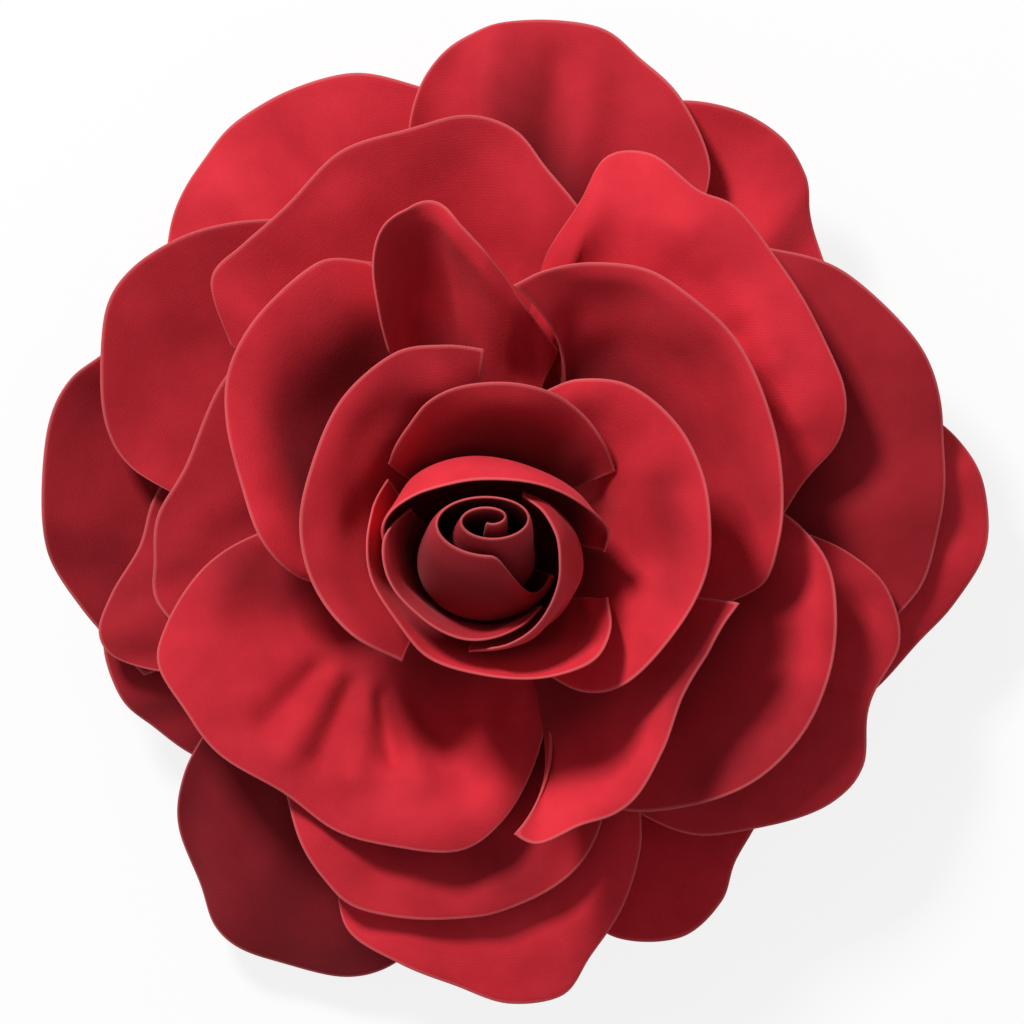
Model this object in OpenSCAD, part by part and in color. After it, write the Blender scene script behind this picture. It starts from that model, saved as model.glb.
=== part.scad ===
// Fabric rose on a sprung hair clip.
// Thirty petals of stiffened cloth are glued by their roots round a tapered core,
// with a rolled bud on its top. The core stands on a felt pad, and the pad is
// glued to the upper jaw of a steel clip. The lower jaw turns on a riveted pin.
// Origin: middle of the clip's flat underside. +Z is out of the flower's face.

/* [Flower] */
// Width of the open flower, from side to side
flower_w = 104; // [85:1:125]
// Height of the flower above its felt pad
flower_h = 39; // [34:0.5:46]
// Thickness of the stiffened petal cloth
petal_t = 0.5; // [0.3:0.05:0.6]
// Distance of the flower's axis from the clip's middle, across the clip
flower_shift_x = 0; // [-4:0.5:4]
// Distance of the flower's axis from the clip's middle, along the clip
flower_shift_y = -2; // [-6:0.5:6]

/* [Core and pad] */
// Radius of the core at its foot
core_foot_r = 8; // [7:0.25:9]
// Radius of the core under the bud
core_top_r = 3.2; // [2.8:0.1:3.6]
// Radius of the core's glued flange
flange_r = 14; // [11:0.5:17]
// Thickness of the core's flange
flange_t = 0.8; // [0.5:0.1:0.9]
// Radius of the felt pad
pad_r = 20; // [16:0.5:24]
// Thickness of the felt
felt_t = 1.5; // [1:0.1:2.5]

/* [Bud] */
// Half width of the rolled bud at its widest, in a flower of the drawn width
bud_r = 8.1; // [7.6:0.1:8.3]
// How far the bud's top leans off its foot
bud_lean = 4.2; // [3.7:0.1:4.7]
// Turns of cloth in the bud
bud_turns = 2.25; // [1.5:0.25:2.5]
// Radius of the foam plug that the bud is rolled on
plug_r = 1.2; // [0.8:0.1:1.4]

/* [Clip] */
// Length of the clip
clip_len = 50; // [44:1:60]
// Width of the upper jaw
clip_w = 10; // [9:0.5:13]
// Height of the closed clip over both jaws
clip_h = 8.6; // [8.2:0.1:11]
// Thickness of the steel sheet
sheet_t = 0.6; // [0.5:0.05:0.8]
// Distance of the hinge from the thumb end
hinge_from_end = 16; // [14:0.5:20]
// Length of each jaw's curved nose
nose_len = 15; // [12:0.5:18]
// Diameter of the hinge pin
pin_d = 1.6; // [1.2:0.1:2]
// Diameter of the pin's riveted heads
pin_head_d = 2.8; // [2.4:0.1:3.6]
// Thickness of each pin head
pin_head_t = 0.5; // [0.3:0.1:0.8]
// Play between the pin and the lower jaw's bores, on the radius
pin_play = 0.05; // [0.02:0.01:0.1]
// Play between the riveted pin and the upper jaw's bores, on the radius
rivet_play = 0.02; // [0.01:0.01:0.04]
// Play between the nested ears, each side
ear_play = 0.1; // [0.05:0.01:0.2]
// Radius of the rounded ears
ear_r = 2.6; // [2.2:0.1:3]
// Gap between the closed jaw tips
tip_gap = 0.08; // [0.05:0.01:0.2]
// Number of gripping teeth
teeth = 4; // [2:1:5]
// Height of a tooth
tooth_h = 0.5; // [0.3:0.1:0.8]
// Distance between teeth
tooth_pitch = 1.8; // [1.5:0.1:2]
// Length of the felt strap that covers the glued jaw
strap_len = 12; // [8:1:14]
// Distance of the strap's thumb end from the clip's middle, towards the thumb end
strap_start = 2; // [0:0.5:4]
// Thickness of the strap's felt
strap_t = 0.8; // [0.5:0.1:1]
// Width of each of the strap's glued wings
strap_wing = 4; // [3:0.5:6]

/* [Spring] */
// Diameter of the spring wire
wire_d = 0.7; // [0.6:0.05:0.8]
// Mean diameter of the coil
coil_d = 4.2; // [3.6:0.1:4.6]
// Whole turns in the coil
coil_turns = 4; // [3:1:5]
// Distance from turn to turn
coil_pitch = 1.15; // [1.15:0.05:1.3]
// Slope of the spring's legs
leg_slope = 7; // [6:0.5:10]
// Gap between the spring's legs and the jaws
leg_gap = 0.1; // [0.05:0.01:0.2]

/* [Hidden] */
$fn = 48;

// The petal points below are drawn for a flower of this width and height.
drawn_w = 104;
drawn_h = 39;
spread = flower_w / drawn_w;
rise = flower_h / drawn_h;

pad_top = clip_h + felt_t;
core_h = 13.4 * rise;
root_gap = petal_t / 2 + 0.1;      // from the core to the middle of the cloth
root_share = 0.5;                  // how much of a petal's turn its root takes
rim_pull = 0.34;                   // how far the rim's own slope reaches down a rib
climb_pull = 0.3;                  // how much the rib's climb counts beside its reach
lean_in_pull = 0.15;               // more reach for each degree that the rim leans inwards
rim_steps = 12;
rib_steps = [0, 0.16, 0.33, 0.5, 0.65, 0.78, 0.88, 0.95, 1];

hinge_x = hinge_from_end - clip_len / 2;
hinge_z = clip_h / 2;
jaw_gap_half = hinge_z - sheet_t;  // from the hinge to each jaw's inner face
lower_w = clip_w - 2 * (sheet_t + ear_play);
coil_r = coil_d / 2;
wire_r = wire_d / 2;
leg_len = (jaw_gap_half - wire_r - leg_gap - coil_r * cos(leg_slope)) / sin(leg_slope);

cloth_red = [0.69, 0.12, 0.17];
cloth_deep = [0.6, 0.09, 0.13];
steel = [0.75, 0.76, 0.78];
felt_red = [0.35, 0.05, 0.07];

// Each petal: name, height of its root on the core, angle at which it leaves the
// core, share of the way out at which its belly turns up, and its rim as
// [x, y, height above the pad, angle of the cloth there].
// The rims run anticlockwise seen from the face, and each petal lies over those
// above it in this list.
PETALS = [
    ["outer_petal_1", 1.1, 0, 0.4, [[-41, -5, 2, -5], [-42.5, -10, 0.6, -14],
        [-40.5, -15.5, -1, -26], [-37, -19, -2.2, -32], [-33.5, -21.5, -2.8, -32],
        [-29, -24, -2.8, -28]]],
    ["outer_petal_2", 1.8, 4, 0.4, [[-30, -17, 3.2, -5], [-33.5, -23.5, 0.6, -20],
        [-34.5, -30, -2.4, -32], [-32.5, -36, -4.2, -38], [-30, -41, -5.2, -40],
        [-24, -44.5, -5.8, -40], [-16, -46.5, -5.4, -38], [-10, -44.5, -3.6, -30],
        [-5, -39, 0, -10]]],
    ["outer_petal_3", 1.1, 4, 0.4, [[8, -38, 1.4, 0], [14, -42, 1, 4],
        [21, -42, 0.6, 8], [25.5, -38, 0.8, 10], [27, -33.5, 1, 8],
        [29.5, -29, 1.4, 4], [32, -23, 2, 0]]],
    ["outer_petal_4", 1.1, 6, 0.4, [[36, -18, 2, -5], [42, -15, 1.6, -12],
        [47.5, -9, 1.4, -20], [51, -5, 1.2, -26], [54, 0, 0.8, -32],
        [55, 5, 0.6, -36], [54, 9.5, 0.8, -36], [51, 13.5, 1.6, -25],
        [46, 17, 2.6, -8]]],
    ["outer_petal_5", 2.5, 9, 0.4, [[39, 26, 2, -10], [36.5, 33.5, 1.6, -22],
        [35, 38, 1.8, -25], [34.5, 42, 2.4, -20], [32, 46, 4, 0],
        [27, 49, 5.4, 18], [21, 50, 5.6, 22], [15, 48, 5, 15]]],
    ["outer_petal_6", 1.1, 10, 0.4, [[-1, 49, 4.5, 5], [-8, 51.5, 5.2, 8],
        [-15, 53, 4.8, 0], [-22, 51, 3.6, -15], [-28, 47.5, 2.2, -26],
        [-32, 42.5, 1.4, -28], [-35, 37, 1.6, -24], [-36, 30, 2.8, -10]]],
    ["outer_petal_7", 1.8, 6, 0.4, [[-37, 26, 6.5, 14], [-42, 22.5, 8, 28],
        [-46, 19.5, 9.2, 36], [-48.5, 14, 9.6, 40], [-49.2, 6, 8.8, 38],
        [-48.5, 1, 7.4, 32], [-46, -4, 5.2, 20], [-43, -8, 3.2, 0],
        [-38, -13, 2.6, -6]]],
    ["second_petal_1", 2.6, 9, 0.45, [[-34, 11, 6, 5], [-37, 6, 6, 0],
        [-38.5, 1, 5.6, -5], [-41.5, -4, 5, -12], [-43, -8, 5, -15],
        [-41.5, -11, 4.8, -12], [-37, -12.5, 4.8, -5], [-32, -13, 5.4, 0]]],
    ["second_petal_2", 3.3, 7, 0.45, [[23, 37, 8, 12], [24, 43, 8.4, 14],
        [21, 50, 8, 12], [16.5, 54.5, 7, 0], [12, 58, 5.8, -18],
        [4, 58.6, 5.8, -18], [-2.5, 57, 6.6, -4], [-6.5, 53.5, 7.4, 6],
        [-8.7, 48, 7.8, 8], [-9, 41, 7.6, 5]]],
    ["second_petal_3", 3.3, 7, 0.45, [[43, -8, 4.8, -8], [47.5, -3, 5, -16],
        [49.5, 4, 5.6, -22], [50, 11, 5.4, -25], [49.5, 17, 5.4, -25],
        [47, 23, 6, -20], [41, 29.5, 7, -10], [36, 32.5, 7.6, -5],
        [29, 34, 8, 0]]],
    ["second_petal_4", 4, 10, 0.45, [[13, -25, 8, 0], [17, -28.5, 7.6, -8],
        [23, -30.5, 7, -16], [30, -29.5, 6.4, -20], [37.5, -27, 6.2, -22],
        [41, -23, 6.6, -20], [41.5, -16, 8, -12], [45, -9.5, 7.4, -20],
        [43.5, -3.5, 7.8, -16], [39, 0.5, 8.8, -8], [33, 3, 8.8, 0]]],
    ["second_petal_5", 3.3, 3, 0.45, [[-22, 37, 10, 14], [-28, 36.5, 10.6, 20],
        [-34, 34.5, 10.8, 24], [-39, 31.5, 10.8, 26], [-42, 27, 10.8, 26],
        [-42.7, 20, 10.4, 24], [-42, 14, 9.8, 18], [-39, 9.5, 9.4, 8],
        [-33, 6, 9.2, 0]]],
    ["second_petal_6", 2.6, 8, 0.45, [[-19, -26, 7.6, 5], [-17, -35, 7.6, 0],
        [-15.5, -41, 7.4, -5], [-10, -44.5, 7.2, -8], [-4, -47, 6.6, -14],
        [2, -49, 5.6, -18], [8, -48.3, 5, -20], [11, -44, 5.2, -14],
        [14.5, -38.5, 6, -5], [16.5, -32, 6.6, 0], [16.5, -26, 7, 5]]],
    ["third_petal_1", 3.3, 9, 0.5, [[-23, -22, 10.6, 5], [-21, -30.5, 11, 0],
        [-18, -35.5, 11, -5], [-14.5, -38.5, 10.8, -8], [-8, -39.7, 10.2, -8],
        [-1, -39.2, 9.6, -6], [5.5, -37, 9.2, -4], [10, -33.5, 9, 0],
        [12.5, -28, 9, 0], [13, -21, 9, 5]]],
    ["third_petal_2", 4, 7, 0.5, [[13, 33, 14, 10], [9.5, 38.5, 15, 14],
        [6, 42.5, 15.4, 16], [2.5, 46.5, 15.4, 18], [-3, 48, 15.4, 20],
        [-9.5, 46.5, 15.4, 22], [-16.5, 44, 15.2, 22], [-22, 38.5, 14.8, 20],
        [-27, 34, 14.2, 14], [-30.5, 30, 13, 0], [-28.5, 23, 11, 0]]],
    ["third_petal_3", 4.7, 8, 0.5, [[-25, 24, 14.5, 10], [-29.5, 18.5, 13.5, 12],
        [-33, 10, 12.5, 12], [-36.3, 4.5, 11.4, 8], [-36.7, -0.5, 10.2, 2],
        [-36.4, -5, 9.4, -4], [-32, -10, 9.4, 5]]],
    ["third_petal_4", 4.7, 5, 0.5, [[30, 1, 9.8, 0], [34, 7.5, 12.4, -5],
        [38, 12.5, 14, -15], [38.5, 18, 14.4, -22], [36, 24.5, 15, -22],
        [32, 31.5, 15.4, -20], [27, 38, 15.4, -22], [22.5, 40, 15.6, -24],
        [17.5, 44, 14.6, -30], [13, 43.5, 14.6, -30], [10, 38.5, 15.6, -15],
        [6, 32.5, 14.6, 0], [4, 26, 11, 5]]],
    ["third_petal_5", 5.4, 4, 0.5, [[8, -23, 11, 0], [14, -27.5, 12.4, 0],
        [22, -27.2, 12.6, 4], [29, -24.5, 12.8, 8], [34, -19.5, 13.6, 14],
        [37, -13, 15, 20], [37.7, -6, 16, 24], [36.5, 0, 15.6, 22],
        [33, 4, 14.6, 10], [27, 7, 12.5, 0]]],
    ["inner_petal_1", 7.2, 5, 0.6, [[24, -6, 12, 0], [29.5, -3.2, 16.5, 20],
        [31.7, 1.5, 19.8, 40], [31.4, 7, 21, 45], [30.2, 13.5, 22, 46],
        [28, 20, 22.8, 48], [24, 26, 23.2, 48], [18, 30.5, 23.2, 46],
        [11, 31.5, 22.8, 44], [6, 30.9, 22.6, 42], [2.7, 29.2, 22, 40]]],
    ["inner_petal_2", 5.5, 4, 0.55, [[-17, 3.5, 8.5, 0], [-25, 2.5, 11.4, 0],
        [-31, -1, 12, -6], [-35.5, -7.5, 11.8, -16], [-36.3, -12, 12, -20],
        [-33, -17, 12.6, -20], [-29.5, -21.5, 13, -18], [-23, -25.5, 13.4, -16],
        [-17, -30, 13.6, -16], [-10, -31.7, 14.6, -14], [-3, -32, 15.2, -10],
        [1.5, -28.5, 14.4, -4], [5, -22, 10.8, 0], [7, -13, 9, 0]]],
    ["inner_petal_3", 6.6, 4, 0.6, [[7.4, 22.5, 12, 30], [4.8, 26, 16, 38],
        [2.4, 28.9, 20, 42], [-0.4, 31.9, 23, 46], [-3.6, 35.4, 24, 50],
        [-6, 37.6, 24, 52], [-8.8, 37.8, 24, 54], [-11.2, 35.6, 24, 54],
        [-12.2, 31, 23.2, 52], [-12, 26.5, 21.6, 50], [-11, 22.5, 19, 48]]],
    ["inner_petal_4", 6.0, 2, 0.6, [[-13, 32, 18.5, 10], [-18.5, 32, 21, 14],
        [-24.5, 27, 21.6, 16], [-28, 21, 21.4, 16], [-28.5, 14.5, 21.2, 14],
        [-27, 8, 21, 12], [-25, 2, 20.6, 10], [-21, -2, 18.5, 5],
        [-15, -4, 12.5, 0]]],
    ["inner_petal_5", 7.6, 12, 0.6, [
        [2.7, -30.2, 20.2, 34], [5.4, -31, 20.4, 34], [10, -28.8, 20.8, 34],
        [15, -26, 21.2, 36], [18.5, -21, 21.6, 38], [20.5, -15, 22, 38],
        [23.6, -10, 22.6, 36], [27.2, -5.2, 23, 34]]],
    ["cup_petal_1", 8, 42, 0.45, [[-0.7, 22.4, 26, 14], [-5, 22.9, 26.5, 14],
        [-10.5, 22, 26.5, 14], [-16, 17, 26, 12], [-19.5, 9, 25.5, 10],
        [-20.5, 3, 25.5, 10], [-19, -3, 26, 12], [-15, -8.5, 26, 16],
        [-9.6, -11.3, 23.8, 20]]],
    ["cup_petal_2", 8.6, 38, 0.5, [[5.5, -12.2, 17.5, 20], [10, -14.6, 22, 26],
        [14.5, -13.8, 24, 28], [18.5, -10, 25.4, 30], [22, -5, 26.4, 30],
        [24, 1, 27.2, 28], [23.5, 7.5, 28, 22], [20.5, 14, 28, 18],
        [15, 18.5, 28, 15], [9, 19, 27.4, 15], [5, 17.4, 24, 20]]],
    ["cup_petal_3", 9.4, 38, 0.66, [[-11.3, 8.3, 22.5, 60], [-12.8, 5.2, 27, 62],
        [-13.3, 1.5, 29.5, 64], [-12.3, -3.6, 30, 62], [-8.8, -8.6, 30, 60],
        [-4.9, -11.2, 29.8, 58], [1.7, -12.8, 29.6, 52], [7.5, -13, 29.2, 44],
        [11.4, -11.4, 28.2, 40], [13.3, -8, 25.5, 40], [12.8, -4.5, 21.5, 40]]],
    ["cup_petal_4", 9.6, 45, 0.45, [[13.4, 9, 22.8, 40], [12.4, 12, 25.4, 36],
        [10.2, 15.1, 27.4, 32], [6.5, 17.8, 29.4, 28], [2, 19, 30.2, 28],
        [-3, 18.5, 30.2, 28], [-6.6, 16.8, 30, 30], [-8.8, 14.1, 28.6, 34],
        [-10.3, 11.8, 26.4, 38], [-10.9, 10, 24, 40]]],
    ["bud_petal_1", 10.2, 45, 0.5, [[12.6, 0.6, 23.5, 85], [12.6, 3.2, 28, 92],
        [9.8, 5.4, 31.6, 112], [5.9, 7.1, 33.4, 124], [1.7, 8.1, 34.2, 130],
        [-2.9, 8.4, 34.4, 130], [-7, 7.6, 33.8, 126], [-9.8, 5.6, 32.6, 112],
        [-11.6, 3.2, 31.2, 98], [-11.4, 0.8, 28.6, 92]]],
    ["bud_petal_2", 11.8, 30, 0.8, [[-8.6, 5.2, 27, 80], [-10.2, 3.4, 30.5, 74],
        [-10.9, 1.2, 32.2, 68], [-10.5, -2.2, 32.6, 66], [-9, -5.1, 32.6, 66],
        [-6.2, -7.7, 32.4, 68], [-2.9, -8.9, 32, 72], [0.6, -8.7, 31, 76],
        [3.8, -7.5, 28.6, 80], [5.8, -5.8, 25, 82]]],
    ["bud_petal_3", 11, 30, 0.85, [[-2.2, -9.6, 28.5, 90], [-0.2, -9.6, 30.4, 94],
        [2, -9.2, 31.6, 98], [4.6, -7.8, 32.4, 108], [6.5, -5.8, 33.2, 114],
        [7.6, -3.4, 33.8, 120], [7.9, -0.9, 34.2, 124], [7.6, 2.3, 34, 122],
        [6, 4.9, 33.2, 114], [3.6, 6.4, 31.4, 102]]]
];

function unit(v) = v / norm(v);

// Smooth curve through hand-set points, u from 0 to 1.
function curve_piece(a, b, c, d, t) = (2 * b + (c - a) * t
    + (2 * a - 5 * b + 4 * c - d) * t * t
    + (3 * b - a - 3 * c + d) * t * t * t) / 2;
function curve_at(points, u) =
    let (last = len(points) - 1, s = min(u * last, last - 0.000001), i = floor(s))
    curve_piece(points[max(i - 1, 0)], points[i], points[i + 1],
        points[min(i + 2, last)], s - i);

// Turn from one direction to another, from -180 to 180 degrees.
function turn_between(a, b) = let (d = b - a) d - 360 * round(d / 360);

// Radius of the core at a height above the pad.
function core_r(h) = core_foot_r + (core_top_r - core_foot_r) * h / core_h;

// A rib of cloth from the core to the rim: out to its belly, up, and over to the
// slope that it has at the rim.
function rib_at(root, rim, leave, belly, arrive, v) =
    let (across = [rim[0] - root[0], rim[1] - root[1]],
         h = across / norm(across),
         pull = rim_pull * (norm(across) + climb_pull * abs(rim[2] - root[2]))
             + lean_in_pull * max(arrive - 90, 0),
         b = root + belly * norm(across) * [h[0], h[1], tan(leave)],
         c = rim - pull * [h[0] * cos(arrive), h[1] * cos(arrive), sin(arrive)],
         w = 1 - v)
    w * w * w * root + 3 * w * w * v * b + 3 * w * v * v * c + v * v * v * rim;

// Middle of the cloth at u along the rim and v up the rib.
function cloth_at(p, u, v) =
    let (rim4 = curve_at(p[4], u),
         rim = [rim4[0] * spread, rim4[1] * spread, pad_top + rim4[2] * rise],
         middle = p[4][floor(len(p[4]) / 2)],
         heading = atan2(middle[1], middle[0]),
         root_turn = heading + root_share * turn_between(heading, atan2(rim4[1], rim4[0])),
         root_h = p[1] * rise,
         r = core_r(root_h) + root_gap,
         root = [r * cos(root_turn), r * sin(root_turn), pad_top + root_h])
    rib_at(root, rim, p[2], p[3], rim4[3], v);

// Closed solid of a grid of points thickened to both sides.
module sheet(rows, t) {
    n = len(rows);
    m = len(rows[0]);
    across = [for (i = [0 : n - 1]) [for (j = [0 : m - 1]) unit(cross(
        rows[min(i + 1, n - 1)][j] - rows[max(i - 1, 0)][j],
        rows[i][min(j + 1, m - 1)] - rows[i][max(j - 1, 0)]))]];
    top = [for (i = [0 : n - 1]) for (j = [0 : m - 1]) rows[i][j] + across[i][j] * t / 2];
    low = [for (i = [0 : n - 1]) for (j = [0 : m - 1]) rows[i][j] - across[i][j] * t / 2];
    k = n * m;
    faces = concat(
        [for (i = [0 : n - 2]) for (j = [0 : m - 2])
            let (a = i * m + j, b = a + 1, c = a + m, d = c + 1)
            each [[a, b, c], [b, d, c], [k + a, k + c, k + b], [k + b, k + c, k + d]]],
        [for (i = [0 : n - 2])
            let (a = i * m, c = a + m, b = a + m - 1, d = b + m)
            each [[a, c, k + a], [k + a, c, k + c], [b, k + b, d], [d, k + b, k + d]]],
        [for (j = [0 : m - 2])
            let (a = j, b = a + 1, c = (n - 1) * m + j, d = c + 1)
            each [[a, k + a, b], [b, k + a, k + b], [c, d, k + c], [d, k + d, k + c]]]);
    polyhedron(points = concat(top, low), faces = faces, convexity = 4);
}

module on_flower_axis() {
    translate([flower_shift_x, flower_shift_y, 0]) children();
}

module petal(p) {
    rows = [for (v = rib_steps) [for (i = [0 : rim_steps]) cloth_at(p, i / rim_steps, v)]];
    color(p[1] < 5 ? cloth_deep : cloth_red) on_flower_axis() sheet(rows, petal_t);
}

// The clip is drawn along X with its nose at +X, then laid along Y.
module lay_clip() {
    rotate([0, 0, 90]) children();
}

// Side view of one jaw above the hinge's level: flat back, then a curved nose.
nose_steps = 8;
function nose_at(t) =
    let (x0 = clip_len / 2 - nose_len, x2 = clip_len / 2, x1 = x0 + nose_len / 2,
         y0 = hinge_z - sheet_t / 2, y2 = sheet_t / 2 + tip_gap / 2, w = 1 - t)
    [w * w * x0 + 2 * w * t * x1 + t * t * x2, w * w * y0 + 2 * w * t * y0 + t * t * y2];
jaw_line = concat([[-clip_len / 2, hinge_z - sheet_t / 2]],
    [for (i = [0 : nose_steps]) nose_at(i / nose_steps)]);
module jaw_side() {
    last = len(jaw_line) - 1;
    sides = [for (i = [0 : last])
        let (d = unit(jaw_line[min(i + 1, last)] - jaw_line[max(i - 1, 0)]),
             n = i < 2 ? [0, 1] : [-d[1], d[0]])
        [jaw_line[i] + n * sheet_t / 2, jaw_line[i] - n * sheet_t / 2]];
    polygon(concat([for (s = sides) s[0]], [for (i = [last : -1 : 0]) sides[i][1]]));
}

// A strip bent to the jaw's side view, as wide as given.
module jaw_strip(w) {
    translate([0, w / 2, 0]) rotate([90, 0, 0]) linear_extrude(height = w) jaw_side();
}

// One ear that reaches from the jaw to the pin, in the plane at y.
ear_flare = 2;
module ear(y) {
    translate([hinge_x, y + sheet_t, 0]) rotate([90, 0, 0]) linear_extrude(height = sheet_t) {
        circle(r = ear_r);
        polygon([[-ear_r, 0], [ear_r, 0], [ear_r + ear_flare, hinge_z - sheet_t / 2],
            [-ear_r - ear_flare, hinge_z - sheet_t / 2]]);
    }
}

module pin_bore(d) {
    translate([hinge_x, 0, 0]) rotate([90, 0, 0])
        cylinder(h = clip_w * 2, d = d, center = true);
}

module jaw_with_ears(w, bore_d) {
    difference() {
        union() {
            jaw_strip(w);
            ear(w / 2 - sheet_t);
            ear(-w / 2);
        }
        pin_bore(bore_d);
    }
}

// Gripping ridges across the nose of the lower jaw.
module jaw_teeth(w) {
    first_tooth = 0.45;            // share of the nose before the first tooth
    translate([0, w / 2, 0]) rotate([90, 0, 0]) linear_extrude(height = w)
        for (i = [0 : teeth - 1]) {
            t = first_tooth + i * tooth_pitch / nose_len;
            d = nose_at(t + 0.01) - nose_at(t - 0.01);
            translate(nose_at(t)) rotate(atan2(d[1], d[0]))
                polygon([[-tooth_h, -sheet_t / 4], [tooth_h, -sheet_t / 4],
                    [0, -sheet_t / 2 - tooth_h]]);
        }
}

module clip_upper_jaw() {
    color(steel) lay_clip() translate([0, 0, hinge_z])
        jaw_with_ears(clip_w, pin_d + 2 * rivet_play);
}

module clip_lower_jaw() {
    color(steel) lay_clip() translate([0, 0, hinge_z]) mirror([0, 0, 1]) {
        jaw_with_ears(lower_w, pin_d + 2 * pin_play);
        jaw_teeth(lower_w);
    }
}

module hinge_pin() {
    color(steel) lay_clip() translate([hinge_x, 0, hinge_z]) rotate([90, 0, 0]) {
        cylinder(h = clip_w, d = pin_d, center = true);
        for (side = [-1, 1])
            translate([0, 0, side * (clip_w + pin_head_t) / 2])
                cylinder(h = pin_head_t, d = pin_head_d, center = true);
    }
}

// The spring: a coil on the pin with a straight leg along each thumb tab.
rings_a_turn = 8;
coil_start = leg_slope - 90;
coil_sweep = 360 * coil_turns + 180 - 2 * leg_slope;
coil_rings = ceil(coil_sweep / 360 * rings_a_turn);
function coil_point(a) = [coil_r * cos(a),
    coil_pitch * ((a - coil_start) / 360 - coil_sweep / 720), coil_r * sin(a)];
coil_angles = [for (i = [0 : coil_rings]) coil_start + coil_sweep * i / coil_rings];
leg_steps = [leg_len, leg_len - wire_d, leg_len / 2];
wire_line = concat(
    [for (s = leg_steps) coil_point(coil_start)
        + s * [-cos(leg_slope), 0, -sin(leg_slope)]],
    [for (a = coil_angles) coil_point(a)],
    [for (i = [2 : -1 : 0]) coil_point(coil_start + coil_sweep)
        + leg_steps[i] * [-cos(leg_slope), 0, sin(leg_slope)]]);
wire_turns = concat([for (s = leg_steps) coil_start], coil_angles,
    [for (s = leg_steps) coil_start + coil_sweep]);
wire_sides = 6;
spring_self_gap = min([for (i = [0 : len(wire_line) - 1])
    for (j = [i + 4 : 1 : len(wire_line) - 1])
    norm(wire_line[i] - wire_line[j])]) - wire_d;
echo(spring_self_gap = spring_self_gap);

module torsion_spring() {
    n = len(wire_line);
    rings = [for (i = [0 : n - 1]) for (s = [0 : wire_sides - 1])
        let (out = [cos(wire_turns[i]), 0, sin(wire_turns[i])], a = 360 * s / wire_sides)
        wire_line[i] + wire_r * (cos(a) * out + sin(a) * [0, 1, 0])];
    walls = [for (i = [0 : n - 2]) for (s = [0 : wire_sides - 1])
        let (a = i * wire_sides + s, b = i * wire_sides + (s + 1) % wire_sides)
        each [[a, a + wire_sides, b], [b, a + wire_sides, b + wire_sides]]];
    ends = [for (s = [1 : wire_sides - 2])
        each [[0, s, s + 1], [n * wire_sides - 1, n * wire_sides - 1 - s,
            n * wire_sides - 2 - s]]];
    color("silver") lay_clip() translate([hinge_x, 0, hinge_z])
        polyhedron(points = rings, faces = concat(walls, ends), convexity = 6);
}

module felt_pad() {
    color(felt_red) translate([0, 0, clip_h]) cylinder(h = felt_t, r = pad_r);
}

// Felt strap glued under the upper jaw and, with its wings, to the pad.
module felt_strap() {
    inner = clip_w / 2;
    outer = inner + strap_t;
    color(felt_red) lay_clip() translate([-strap_start, 0, 0]) rotate([90, 0, 90])
        linear_extrude(height = strap_len) {
            translate([-outer, clip_h - sheet_t - strap_t]) square([2 * outer, strap_t]);
            for (side = [-1, 1]) {
                translate([side > 0 ? inner : -outer, clip_h - sheet_t - strap_t])
                    square([strap_t, sheet_t + strap_t]);
                translate([side > 0 ? inner : -inner - strap_wing, clip_h - strap_t])
                    square([strap_wing, strap_t]);
            }
        }
}

module petal_core() {
    color(cloth_deep) on_flower_axis() translate([0, 0, pad_top]) {
        cylinder(h = flange_t, r = flange_r);
        cylinder(h = core_h, r1 = core_foot_r, r2 = core_top_r);
    }
}

bud_foot = pad_top + core_h;
bud_h = flower_h - core_h;
plug_share = 0.25;                 // of the bud's height that its plug fills
module bud_plug() {
    color(cloth_deep) on_flower_axis() translate([0, 0, bud_foot])
        cylinder(h = bud_h * plug_share, r = plug_r);
}

// The bud at even steps of its height: its middle's x and y and its half widths
// along them, drawn for a bud of this radius and lean.
drawn_bud_r = 8.1;
drawn_bud_lean = 4.2;
BUD_SHAPE = [
    [0, 0, 4.2, 4.2], [-0.4, -0.3, 7, 6.4], [-0.8, -0.3, 8.1, 7],
    [-0.7, 0.6, 8, 6.6], [-0.4, 2.3, 7.6, 5.2], [0, 4.2, 7, 3.3]];
bud_gap = 0.1;                     // from the core's top to the roll
bud_last_turn = 345;               // direction of the strip's free end
bud_end = 0.09;                    // last share of the strip, whose top edge falls away
bud_end_drop = 0.55;               // share of the height that it falls
bud_inner = 0.38;                  // inner turn's share of the width at the foot
bud_taper = 0.24;                  // what that share loses by the top
bud_brim = 0.14;                   // top share of the cloth that draws in
bud_pinch = 0.06;                  // how much it draws in
bud_top_fall = 0.07;               // how much lower the outer turn stands
bud_top_tilt = 0.02;               // how far the top edge tips to either side
bud_facets = 20;
bud_rows = 6;

function ease(t) = let (c = min(max(t, 0), 1)) c * c * (3 - 2 * c);

// The rolled strip's middle at s along it and v up it.
function bud_at(s, v) =
    let (a = bud_last_turn - 360 * bud_turns * (1 - s),
         top = 1 - bud_top_fall * s + bud_top_tilt * sin(a)
             - bud_end_drop * ease((s - 1 + bud_end) / bud_end),
         h = v * top,
         shape = curve_at(BUD_SHAPE, h),
         inner = bud_inner - bud_taper * h,
         brim = max(v - 1 + bud_brim, 0) / bud_brim,
         share = (inner + (1 - inner) * s) * (1 - bud_pinch * brim * brim),
         wide = share * spread * bud_r / drawn_bud_r)
    [shape[0] * spread + wide * shape[2] * cos(a),
     shape[1] * spread * bud_lean / drawn_bud_lean + wide * shape[3] * sin(a),
     bud_foot + bud_gap + h * (bud_h - bud_gap)];

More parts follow.
